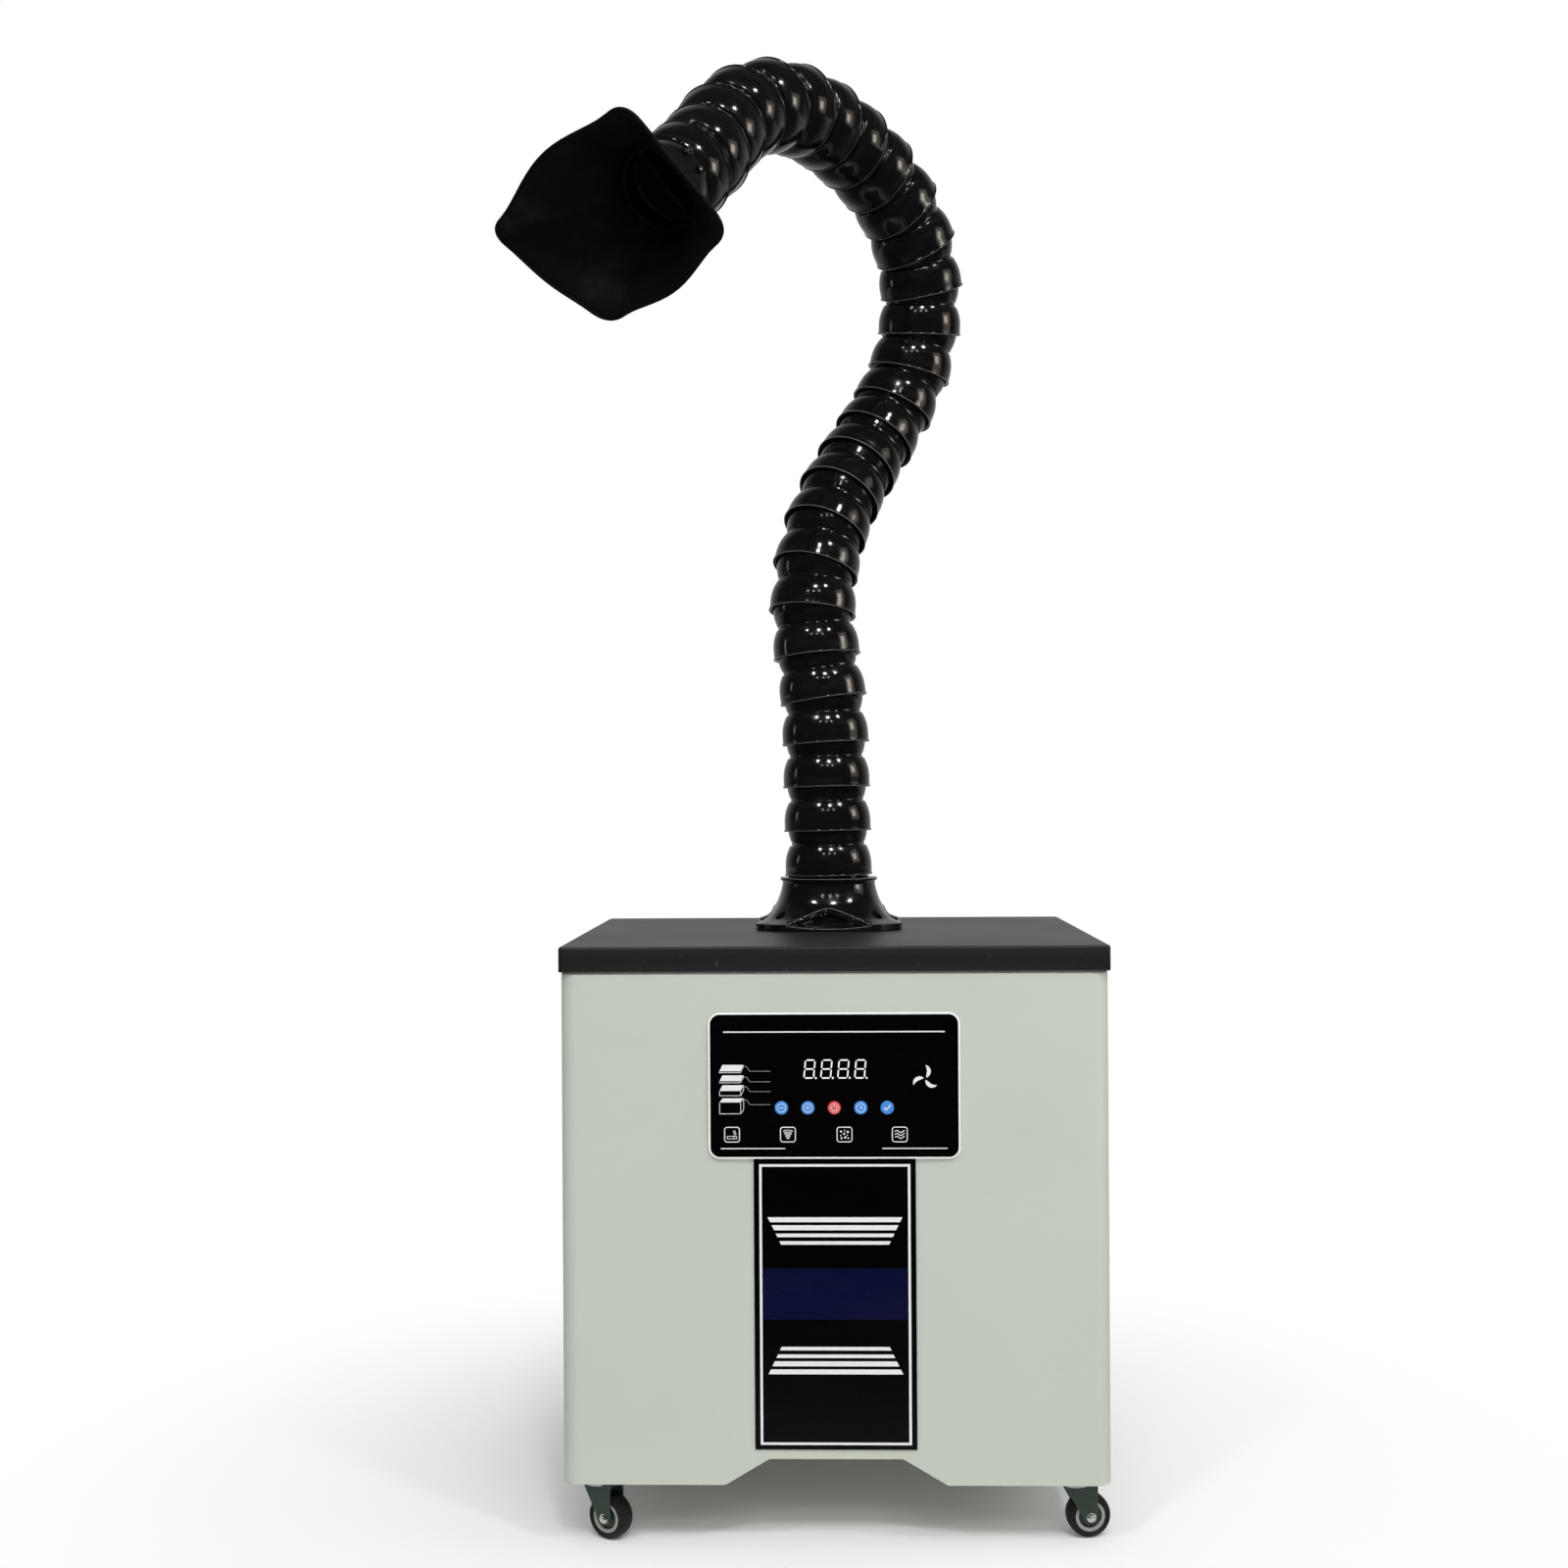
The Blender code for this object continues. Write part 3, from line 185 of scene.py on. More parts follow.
lamp("right_wall", bearing=82, height=1.75, distance=3.3, size=1.55, radiance=1.1,
     tint=(1.0, 0.88, 0.77), tall=1.7, on_matt=False)
lamp("right_box", bearing=82, height=2.2, distance=3.2, size=1.6, radiance=1.3, in_gloss=False)
lamp("left_doorway", bearing=-92, height=1.25, distance=3.4, size=0.16, radiance=4.0,
     tall=0.8, on_matt=False)


# Cabinet shell: one steel sheet folded round the front and sides, stepped in under the lid and
# turned in along its top edge, with a notch in its foot. Pale grey-green powder coat.
def effect(name, takes):
    """A shader node group that gives a colour, a roughness and a normal."""
    group = bpy.data.node_groups.new(name, "ShaderNodeTree")
    kinds = {float: "NodeSocketFloat", tuple: "NodeSocketColor"}
    for socket, usual in takes.items():
        made = group.interface.new_socket(socket, in_out="INPUT", socket_type=kinds[type(usual)])
        made.default_value = usual
    for socket, kind in (("Colour", "Color"), ("Roughness", "Float"), ("Normal", "Vector")):
        group.interface.new_socket(socket, in_out="OUTPUT", socket_type="NodeSocket" + kind)
    return group, group.nodes.new("NodeGroupInput").outputs, group.nodes.new("NodeGroupOutput")


def blended(tree, share, first, second, way="MIX"):
    """Mix two colours, or the sockets that give them."""
    made = add(tree, "ShaderNodeMix", {0: share, 6: first, 7: second}, data_type="RGBA",
               blend_type=way)
    return made.outputs[2]


def total(tree, value, times, plus):
    """value * times + plus."""
    return add(tree, "ShaderNodeMath", {0: value, 1: times, 2: plus},
               operation="MULTIPLY_ADD").outputs[0]


def give(tree, out, colour, roughness, height, depth):
    """Feed a group's outputs; the height, in metres, becomes its normal."""
    bump = add(tree, "ShaderNodeBump", {"Height": height, "Distance": depth, "Strength": 1.0})
    tree.links.new(colour, out.inputs["Colour"])
    tree.links.new(roughness, out.inputs["Roughness"])
    tree.links.new(bump.outputs[0], out.inputs["Normal"])


def coated(name, group, given, slot_metal=0.0, **plain):
    """A finish made of a shared effect with its own values; plain values stay on the shader."""
    material = bpy.data.materials.new(name)
    material.use_nodes = True
    tree = material.node_tree
    shader = tree.nodes["Principled BSDF"]
    shader.inputs["Metallic"].default_value = slot_metal
    for socket, value in plain.items():
        shader.inputs[socket.replace("_", " ")].default_value = value
    placed = add(tree, "ShaderNodeGroup", node_tree=group)
    for socket, value in given.items():
        placed.inputs[socket].default_value = (*value, 1) if isinstance(value, tuple) else value
    for output, socket in (("Colour", "Base Color"), ("Roughness", "Roughness"),
                           ("Normal", "Normal")):
        tree.links.new(placed.outputs[output], shader.inputs[socket])
    return material


powder, takes, out = effect("powder_coat", {"Colour": (0.5, 0.5, 0.5, 1), "Roughness": 0.5,
                                            "Peel": 480.0, "Depth": 0.00003, "Soiling": 0.2})
where = add(powder, "ShaderNodeTexCoord").outputs["Object"]
peel = add(powder, "ShaderNodeTexNoise", {"Vector": where, "Scale": takes["Peel"],
                                          "Detail": 2.0}).outputs["Fac"]
clouds = add(powder, "ShaderNodeTexNoise", {"Vector": where, "Scale": 6.0, "Detail": 5.0,
                                            "Roughness": 0.6}).outputs["Fac"]
specks = add(powder, "ShaderNodeTexNoise", {"Vector": where, "Scale": 210.0, "Detail": 1.0})
soil = add(powder, "ShaderNodeMath", {0: banded(powder, clouds, 0.42, 0.78),
                                      1: takes["Soiling"]}, operation="MULTIPLY").outputs[0]
speck = banded(powder, specks.outputs["Fac"], 0.74, 0.80, 0.0, 0.16)
toned = blended(powder, soil, takes["Colour"], (0.50, 0.49, 0.44, 1), "MULTIPLY")
give(powder, out, blended(powder, speck, toned, (0.30, 0.30, 0.28, 1)),
     total(powder, clouds, 0.14, total(powder, takes["Roughness"], 1.0, -0.07)), peel,
     takes["Depth"])

cabinet_paint = coated("cabinet_powder_coat", powder, {
    "Colour": (0.522, 0.556, 0.492), "Roughness": 0.46, "Soiling": 0.10})


def skinned(shape, rings, closed=False, capped=True):
    """Skin rings of like point counts; a closed run joins its ends, an open one may be capped."""
    rows = [[shape.verts.new(point) for point in ring] for ring in rings]
    for row, other in zip(rows, rows[1:] + rows[:1] if closed else rows[1:]):
        for here in range(len(row)):
            there = (here + 1) % len(row)
            shape.faces.new((row[here], row[there], other[there], other[here]))
    if capped and not closed:
        shape.faces.new(rows[0][::-1])
        shape.faces.new(rows[-1])
    return shape


def as_mesh(name, shape, crease=35):
    """Finish a shape as a mesh, smooth but for edges sharper than the crease angle."""
    bmesh.ops.recalc_face_normals(shape, faces=shape.faces)
    mesh = bpy.data.meshes.new(name)
    shape.to_mesh(mesh)
    shape.free()
    mesh.shade_smooth()
    mesh.set_sharp_from_angle(angle=math.radians(crease))
    return mesh


def worked(mesh, *steps):
    """Cut, join or round a mesh with modifiers, and return it finished."""
    blank = bpy.data.objects.new(mesh.name, mesh)
    bpy.context.collection.objects.link(blank)
    tools = []
    for kind, tool in steps:
        modifier = blank.modifiers.new(kind, "BEVEL" if kind == "ROUND" else "BOOLEAN")
        if kind == "ROUND":
            modifier.width = tool
            modifier.segments = 3
            modifier.limit_method = "ANGLE"
            modifier.angle_limit = math.radians(40)
            modifier.harden_normals = True
        else:
            helper = bpy.data.objects.new("tool", tool)
            bpy.context.collection.objects.link(helper)
            tools.append(helper)
            modifier.operation = kind
            modifier.solver = "EXACT"
            modifier.object = helper
    bpy.context.view_layer.update()
    graph = bpy.context.evaluated_depsgraph_get()
    finished = bpy.data.meshes.new_from_object(blank.evaluated_get(graph))
    finished.name = mesh.name
    for thing in (blank, *tools):
        bpy.data.objects.remove(thing)
    if steps[-1][0] != "ROUND":
        finished.shade_smooth()
        finished.set_sharp_from_angle(angle=math.radians(35))
    return finished


def fit(name, mesh, material, body, place=middle, stands_for=()):
    """Put a mesh in place as a named piece that rides on a body and may stand for CAD nodes."""
    if not mesh.materials:
        mesh.materials.append(material)
    thing = bpy.data.objects.new(name, mesh)
    bpy.context.collection.objects.link(thing)
    thing.matrix_world = place
    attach(thing, body)
    if stands_for:
        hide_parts(*stands_for)
    return thing


def mm(*values):
    """Sizes written in millimetres, in metres."""
    return tuple(value / 1000 for value in values)


def at_depth(outline, y):
    """An outline of (x, z) points at one depth."""
    return [(x, y, z) for x, z in outline]


def at_height(outline, z):
    """An outline of (x, y) points at one height."""
    return [(x, y, z) for x, y in outline]


half_width, half_depth = mm(241, 190)
foot, wall_top, step_bottom, step_rise = mm(57, 522.4, 505, 1.2)
sheet, step_in, turned_in, corner_radius = mm(2, 2, 14, 15)
corner_steps, seam_depth, sheet_round = 12, 0.0023, 0.0005
profile = (
    (0, foot), (0, step_bottom), (step_in, step_bottom + step_rise), (step_in, wall_top),
    (turned_in, wall_top), (turned_in, wall_top - sheet), (step_in + sheet, wall_top - sheet),
    (step_in + sheet, step_bottom - sheet), (sheet, step_bottom - sheet), (sheet, foot),
)
stations = [((-half_width, half_depth - seam_depth), (1, 0))]
for across, start in ((-1, math.pi), (1, 1.5 * math.pi)):
    for step in range(corner_steps + 1):
        angle = start + step / corner_steps * math.pi / 2
        inward = (-math.cos(angle), -math.sin(angle))
        stations.append(((across * (half_width - corner_radius) - corner_radius * inward[0],
                          corner_radius - half_depth - corner_radius * inward[1]), inward))
stations.append(((half_width, half_depth - seam_depth), (-1, 0)))
shell = as_mesh("shell_sheet", skinned(bmesh.new(), [
    [(x + offset * across, y + offset * along, z) for offset, z in profile]
    for (x, y), (across, along) in stations]))
notch_high, notch_foot, notch_top = mm(80, 97.5, 58.5)
cut_low, cut_foot, cut_past = mm(53, 104.3, 4)
notch = [(-cut_foot, cut_low), (-notch_top, notch_high), (notch_top, notch_high),
         (cut_foot, cut_low)]
opening = as_mesh("notch", skinned(bmesh.new(), [at_depth(notch, -half_depth - cut_past),
                                                 at_depth(notch, -half_depth + cut_past)]))
fit("shell_sheet", worked(shell, ("DIFFERENCE", opening), ("ROUND", sheet_round)), cabinet_paint,
    "cabinet", stands_for=["cabinet_shell"])


# Rear panel: flat sheet with two columns of rounded exhaust slots and the inlet's opening, held
# by eight pan-head screws. The same powder coat.
def rounded(width, height, radius, steps=8, x=0.0, y=0.0):
    """Outline of a rectangle with round corners about a point, counter-clockwise."""
    points = []
    for quarter, (across, along) in enumerate(((1, 1), (-1, 1), (-1, -1), (1, -1))):
        for step in range(steps + 1):
            angle = (quarter + step / steps) * math.pi / 2
            points.append((x + across * (width / 2 - radius) + radius * math.cos(angle),
                           y + along * (height / 2 - radius) + radius * math.sin(angle)))
    return points


def circle(radius, sides, x=0.0, y=0.0):
    """Points of a round outline about a point."""
    turns = [math.tau * side / sides for side in range(sides)]
    return [(x + radius * math.cos(turn), y + radius * math.sin(turn)) for turn in turns]


def turned(name, profile, sides, closed=False, crease=35):
    """A turned body from a profile of (radius, height) points; a closed one has a hole."""
    return as_mesh(name, skinned(bmesh.new(), [at_height(circle(radius, sides), z)
                                               for radius, z in profile], closed=closed), crease)


def screw_head(name, radius, height, recess):
    """A low domed screw head on Z with a cross or six-sided recess."""
    dome = [(radius * wide, height * high) for wide, high in (
        (1.0, 0.0), (1.0, 0.35), (0.93, 0.62), (0.74, 0.86), (0.45, 1.0), (0.05, 1.0))]
    tool = bmesh.new()
    socket = circle(0.5 * radius, 6)
    if recess == "cross":
        slot, reach, askew = 0.15 * radius, 0.62 * radius, 0.4
        arm = [Vector((reach, -slot)), Vector((reach, slot)), Vector((slot, slot))]
        socket = [Matrix.Rotation(askew + quarter * math.pi / 2, 2) @ point
                  for quarter in range(4) for point in arm]
    skinned(tool, [at_height(socket, height * share) for share in (0.3, 1.5)])
    return worked(turned(name, dome, 28), ("DIFFERENCE", as_mesh("recess", tool)))


metal, takes, out = effect("plated_metal", {"Colour": (0.6, 0.6, 0.6, 1), "Roughness": 0.3,
                                            "Grain": 700.0, "Depth": 0.00001})
where = add(metal, "ShaderNodeTexCoord").outputs["Object"]
grain = add(metal, "ShaderNodeTexNoise", {"Vector": where, "Scale": takes["Grain"],
                                          "Detail": 4.0}).outputs["Fac"]
spangle = add(metal, "ShaderNodeTexVoronoi", {"Vector": where, "Scale": 130.0})
tone = add(metal, "ShaderNodeSeparateColor", {0: spangle.outputs["Color"]}).outputs[0]
give(metal, out, blended(metal, banded(metal, tone, 0.0, 1.0, 0.0, 0.22), takes["Colour"],
                         (0.25, 0.25, 0.25, 1)),
     total(metal, grain, 0.20, total(metal, takes["Roughness"], 1.0, -0.10)), grain,
     takes["Depth"])
zinc = coated("zinc_plated_steel", metal, {"Colour": (0.55, 0.56, 0.57), "Roughness": 0.38}, 1.0)
bright_metal = coated("nickel_plated_steel", metal, {"Colour": (0.70, 0.69, 0.66),
                                                     "Roughness": 0.22}, 1.0)

outline = [(-half_width, foot), (-notch_foot, foot), (-notch_top, notch_high),
           (notch_top, notch_high), (notch_foot, foot), (half_width, foot),
           (half_width, step_bottom),
           (half_width - step_in, step_bottom), (half_width - step_in, wall_top),
           (step_in - half_width, wall_top), (step_in - half_width, step_bottom),
           (-half_width, step_bottom)]
panel = as_mesh("rear_sheet", skinned(bmesh.new(), [
    at_depth(outline, y) for y in (half_depth - sheet, half_depth)]))
inlet_x, inlet_z = mm(195, 112)
slot_long, slot_tall, slot_round = mm(130, 6, 2.95)
slot_column, lowest_slot, slot_pitch, slot_rows = *mm(80, 94, 14), 7
cuts = bmesh.new()
holes = [rounded(*mm(28.1, 21.1, 1), 2, inlet_x, inlet_z)]
for column in (-slot_column, slot_column):
    for row in range(slot_rows):
        holes.append(rounded(slot_long, slot_tall, slot_round, 5, column,
                             lowest_slot + slot_pitch * row))
for hole in holes:
    skinned(cuts, [at_depth(hole, y) for y in (half_depth - 0.005, half_depth + 0.005)])
fit("rear_sheet", worked(panel, ("DIFFERENCE", as_mesh("slots", cuts)), ("ROUND", 0.0004)),
    cabinet_paint, "cabinet", stands_for=["rear_panel"])
rear_screw = screw_head("rear_screw", *mm(3.6, 1.4), "cross")
screw_column, screw_sunk = mm(232.5, 0.2)
to_rear = Matrix.Rotation(-math.pi / 2, 4, "X")
for side in (-1, 1):
    for number, z in enumerate(mm(76, 218, 360, 494)):
        spot = Matrix.Translation((side * screw_column, half_depth - screw_sunk, z)) @ to_rear
        fit(f"rear_screw_{'lr'[side > 0]}{number}", rear_screw, zinc, "cabinet", middle @ spot)


# Mains inlet: a black moulded socket with a deep well and three flat nickel-plated pins, held
# in the rear panel's opening by two small screws through its flange.
moulded, takes, out = effect("moulded_plastic", {"Colour": (0.01, 0.01, 0.01, 1),
                                                 "Roughness": 0.5, "Grain": 900.0,
                                                 "Depth": 0.00002, "Wear": 0.1})
where = add(moulded, "ShaderNodeTexCoord").outputs["Object"]
grain = add(moulded, "ShaderNodeTexNoise", {"Vector": where, "Scale": takes["Grain"],
                                            "Detail": 3.0}).outputs["Fac"]
rubs = add(moulded, "ShaderNodeTexNoise", {"Vector": where, "Scale": 26.0, "Detail": 6.0,
                                           "Roughness": 0.7}).outputs["Fac"]
worn = add(moulded, "ShaderNodeMath", {0: banded(moulded, rubs, 0.52, 0.72), 1: takes["Wear"]},
           operation="MULTIPLY").outputs[0]
give(moulded, out, blended(moulded, worn, takes["Colour"], (0.16, 0.16, 0.155, 1)),
     total(moulded, rubs, 0.22, total(moulded, takes["Roughness"], 1.0, -0.11)), grain,
     takes["Depth"])
matt_black = coated("matt_black_plastic", moulded, {"Colour": (0.006, 0.006, 0.006),
                                                    "Roughness": 0.62, "Wear": 0.02})
inlet_face, inlet_seat, well_depth, body_depth = mm(192.8, 190.3, 172, 170)
inlet_flange, well, inlet_body = [rounded(*sizes, 6, inlet_x, inlet_z) for sizes in (
    mm(50, 30, 8), mm(23.5, 16.5, 2.5), mm(27.5, 20.5, 3))]
socket = as_mesh("inlet_socket", skinned(bmesh.new(), [
    at_depth(well, well_depth), at_depth(well, inlet_face), at_depth(inlet_flange, inlet_face),
    at_depth(inlet_flange, inlet_seat), at_depth(inlet_body, inlet_seat),
    at_depth(inlet_body, body_depth)]))
fit("inlet_socket", worked(socket, ("ROUND", 0.0004)), matt_black, "cabinet",
    stands_for=["power_inlet"])
pins = bmesh.new()
pin_root, pin_shoulder, pin_end = mm(172.5, 184.8, 186)
for across, up in (mm(-7, -2), mm(0, 2), mm(7, -2)):
    pin = rounded(*mm(2, 6, 0.6), 2, inlet_x + across, inlet_z + up)
    tip = rounded(*mm(1.2, 5, 0.4), 2, inlet_x + across, inlet_z + up)
    skinned(pins, [at_depth(pin, pin_root), at_depth(pin, pin_shoulder), at_depth(tip, pin_end)])
fit("inlet_pins", as_mesh("inlet_pins", pins), bright_metal, "cabinet")
inlet_screw = screw_head("inlet_screw", *mm(2.6, 0.8), "cross")
ear, ear_sunk = mm(19.5, 0.7)
for side in (-1, 1):
    spot = Matrix.Translation((inlet_x + side * ear, inlet_face - ear_sunk, inlet_z)) @ to_rear
    fit(f"inlet_screw_{'lr'[side > 0]}", inlet_screw, zinc, "cabinet", middle @ spot)

# Floor pan: the bottom of the cabinet, pressed from sheet with a channel from notch to notch,
# with the caster plates welded under it. It keeps its solid and gets the same powder coat.
def coat_solid(node_name, material):
    """Give a solid its finish."""
    node = frame["nodes"][node_name]
    node.data.materials.clear()
    node.data.materials.append(material)


coat_solid("base_plate", cabinet_paint)

# Lid: a shallow tray of black powder-coated sheet, turned down over the cabinet with soft folded
# edges and mitred corners. It carries the arm. A foam gasket lies under its rim.
lid_paint = coated("lid_powder_coat", powder, {
    "Colour": (0.0105, 0.0125, 0.0130), "Roughness": 0.44, "Peel": 620.0, "Depth": 0.00005,
    "Soiling": 0.10})
lid_top, lid_under, hem = mm(529, 527, 507)
lid_half_width, lid_half_depth = mm(242, 192)
arm_x, arm_y = mm(-4, 55)


def lid_ring(inset, z, radius):
    """One ring of the tray, drawn in from its outside face."""
    return at_height(rounded(2 * (lid_half_width - inset), 2 * (lid_half_depth - inset),
                             radius, 7), z)


def lid_hole(z, radius=0.036):
    """The arm's opening, with its points facing those of the tray's outline."""
    ring = []
    for x, y, _ in lid_ring(0, z, 0.0045):
        turn = math.atan2(y - arm_y, x - arm_x)
        ring.append((arm_x + radius * math.cos(turn), arm_y + radius * math.sin(turn), z))
    return ring


tray = bmesh.new()
under, edge, over = [[lid_ring(inset, z, radius) for inset, z, radius in rows] for rows in (
    ((0.0040, lid_under, 0.0020), (0.0021, lid_under - 0.0004, 0.0022),
     (0.0017, lid_under - 0.0020, 0.0024), (0.0017, hem + 0.0003, 0.0024)),
    ((0.0014, hem, 0.0026), (0.0003, hem, 0.0042), (0, hem + 0.0003, 0.0045),
     (0, lid_top - 0.0018, 0.0045)),
    ((0.00024, lid_top - 0.0009, 0.0043), (0.0009, lid_top - 0.00024, 0.0040),
     (0.0018, lid_top, 0.0036), (0.0060, lid_top, 0.0030)))]
hole_edge = [lid_hole(lid_top, 0.0384), lid_hole(lid_top, 0.0366), lid_hole(lid_top - 0.0004)]
skinned(tray, [lid_hole(lid_under), *under, *edge, *over, *hole_edge], closed=True)
fit("lid_tray", as_mesh("lid_tray", tray, 50), lid_paint, "lid", stands_for=["top_lid"])
foam = coated("gasket_foam", moulded, {"Colour": (0.020, 0.020, 0.020), "Roughness": 0.92,
                                       "Grain": 1500.0, "Depth": 0.0002, "Wear": 0.1})
coat_solid("lid_gasket", foam)


# Control fascia: a white moulded back with a black glossy film on it, printed with plain lines,
# symbols and a diagram of the filters, and a display of four digits.
film, takes, out = effect("printed_film", {"Colour": (0.004, 0.004, 0.006, 1),
                                           "Roughness": 0.2, "Grain": 2600.0,
                                           "Depth": 0.000004, "Smears": 0.12})
where = add(film, "ShaderNodeTexCoord").outputs["Object"]
grain = add(film, "ShaderNodeTexNoise", {"Vector": where, "Scale": takes["Grain"],
                                         "Detail": 2.0}).outputs["Fac"]
drawn_out = add(film, "ShaderNodeMapping", {"Vector": where, "Scale": (14.0, 14.0, 34.0),
                                            "Rotation": (0.0, 0.5, 0.0)}).outputs[0]
wiped = add(film, "ShaderNodeTexNoise", {"Vector": drawn_out, "Scale": 1.0,
                                         "Detail": 5.0}).outputs["Fac"]
smear = add(film, "ShaderNodeMath", {0: banded(film, wiped, 0.40, 0.75), 1: takes["Smears"]},
            operation="MULTIPLY").outputs[0]
give(film, out, blended(film, banded(film, grain, 0.3, 0.7, 0.0, 0.10), takes["Colour"],
                        (0.004, 0.004, 0.005, 1)),
     total(film, smear, 1.0, takes["Roughness"]), grain, takes["Depth"])
black_film = coated("fascia_film", film, {"Colour": (0.0004, 0.0004, 0.0005),
                                          "Roughness": 0.20}, Specular_IOR_Level=0.20)
white_ink = coated("white_ink", film, {"Colour": (0.80, 0.80, 0.80), "Roughness": 0.42,
                                       "Smears": 0.05})
grey_ink = coated("grey_ink", film, {"Colour": (0.34, 0.34, 0.35), "Roughness": 0.42,
                                     "Smears": 0.05})
display_glow = coated("display_digits", film, {"Colour": (0.82, 0.83, 0.83), "Roughness": 0.35},
                      Emission_Color=(1.0, 1.0, 1.0, 1), Emission_Strength=0.15)
white_plastic = coated("fascia_edge_plastic", moulded, {"Colour": (0.90, 0.90, 0.89),
                                                        "Roughness": 0.45, "Wear": 0.02})


def beside(path, offset, looped=False):
    """The path moved sideways by an offset, with mitred corners."""
    offset_path = []
    for number, point in enumerate(path):
        before = path[number - 1] if looped or number else None
        after = path[(number + 1) % len(path)] if looped or number + 1 < len(path) else None
        ways = []
        for start, end in ((before, point), (point, after)):
            if start and end:
                way = Vector((end[0] - start[0], end[1] - start[1])).normalized()
                ways.append(Vector((-way.y, way.x)))
        normal = sum(ways, Vector((0, 0))).normalized()
        reach = offset / max(0.4, normal.dot(ways[0]))
        offset_path.append((point[0] + normal.x * reach, point[1] + normal.y * reach))
    return offset_path


def ink_line(shape, path, width, depth, looped=False):
    """Print a line of even width along a path of (x, z) points."""
    sides = [[shape.verts.new(point) for point in at_depth(beside(path, offset, looped), depth)]
             for offset in (-width / 2, width / 2)]
    count = len(path) if looped else len(path) - 1
    for here in range(count):
        there = (here + 1) % len(path)
        shape.faces.new((sides[0][here], sides[0][there], sides[1][there], sides[1][here]))


def ink_patch(shape, outline, depth):
    """Print a filled outline."""
    shape.faces.new([shape.verts.new(point) for point in at_depth(outline, depth)])


def printed(name, shape, ink, body, place=middle):
    """Lay a print on its panel, facing the front."""
    for patch in shape.faces:
        patch.normal_update()
        if patch.normal.y > 0:
            patch.normal_flip()
    mesh = bpy.data.meshes.new(name)
    shape.to_mesh(mesh)
    shape.free()
    return fit(name, mesh, ink, body, place)


def moved(path, x, z):
    """A path carried to another place."""
    return [(px + x, pz + z) for px, pz in path]


def arc(radius, start, end, steps=20):
    """Points on an arc; angles in degrees, counter-clockwise from +X."""
    turns = [math.radians(start + (end - start) * step / steps) for step in range(steps + 1)]
    return [(radius * math.cos(turn), radius * math.sin(turn)) for turn in turns]


fascia_z, fascia_back, fascia_face = mm(407.5, -190.3, -193.3)
fascia_width, fascia_height, fascia_corner = mm(220.2, 127.8, 10)
white_edge, film_thick = mm(1.7, 0.4)
key_z, key_pitch, key_hole = mm(388.3, 23.1, 6.1)
key_spots = [(number * key_pitch, key_z) for number in (-2, -1, 0, 1, 2)]
key_holes = bmesh.new()
for x, z in key_spots:
    hole = circle(key_hole, 40, x, z)
    skinned(key_holes, [at_depth(hole, fascia_face - cut_past),
                        at_depth(hole, fascia_back + cut_past)])
key_holes = as_mesh("key_holes", key_holes)
back = rounded(fascia_width, fascia_height, fascia_corner, 10, 0, fascia_z)
plate = as_mesh("fascia_back", skinned(bmesh.new(), [at_depth(back, fascia_face + 0.0003),
                                                     at_depth(back, fascia_back)]))
fit("fascia_back", worked(plate, ("DIFFERENCE", key_holes.copy()), ("ROUND", 0.0004)),
    white_plastic, "cabinet", stands_for=["control_fascia"])
front = rounded(fascia_width - 2 * white_edge, fascia_height - 2 * white_edge,
                fascia_corner - white_edge, 10, 0, fascia_z)
overlay = as_mesh("fascia_film", skinned(bmesh.new(), [
    at_depth(front, fascia_face), at_depth(front, fascia_face + film_thick)]))
fit("fascia_overlay", worked(overlay, ("DIFFERENCE", key_holes)), black_film, "cabinet")

ink_depth = fascia_face - 0.00004
fine = mm(0.5)[0]
lines = bmesh.new()
for start, end, rise, weight in (mm(-96.8, 96.8, 47.1, 1.1), mm(-99.5, -43.0, -54.8, 0.9),
                                 mm(41.8, 98.5, -54.8, 0.9)):
    ink_line(lines, moved([(start, rise), (end, rise)], 0, fascia_z), weight, ink_depth)
printed("fascia_lines", lines, white_ink, "cabinet")

# Filter diagram: four boxes seen from a corner, white on top, outlined at the side, each with a
# thin leader line.
boxes, leaders = bmesh.new(), bmesh.new()
left, right, lean, leader_weight = mm(-100.2, -81.8, 2.6, 0.4)
for top, thick, tall in (mm(18.4, 1.2, 5.6), mm(9.2, 1.4, 5.0), mm(0.6, 4.2, 5.0),
                         mm(-10.8, 10.0, 3.6)):
    low = top - tall
    lid_face = [(left, low), (right, low), (right + lean, top), (left + lean, top)]
    ink_patch(boxes, moved(lid_face, 0, fascia_z), ink_depth)
    side = [(left, low - 0.0005), (left, low - thick), (right, low - thick),
            (right + lean, top - thick), (right + lean, top - 0.0005)]
    ink_line(boxes, moved(side, 0, fascia_z), fine, ink_depth)
    ink_line(boxes, moved([(right, low - 0.0006), (right, low - thick)], 0, fascia_z), fine,
             ink_depth)
    lead = [(right + along, top - drop) for along, drop in (
        mm(3.2, 1.4), mm(5.2, 1.4), mm(8.2, 5.6), mm(26.2, 5.6))]
    ink_line(leaders, moved(lead, 0, fascia_z), leader_weight, ink_depth)
printed("diagram_boxes", boxes, white_ink, "cabinet")
printed("diagram_leaders", leaders, grey_ink, "cabinet")

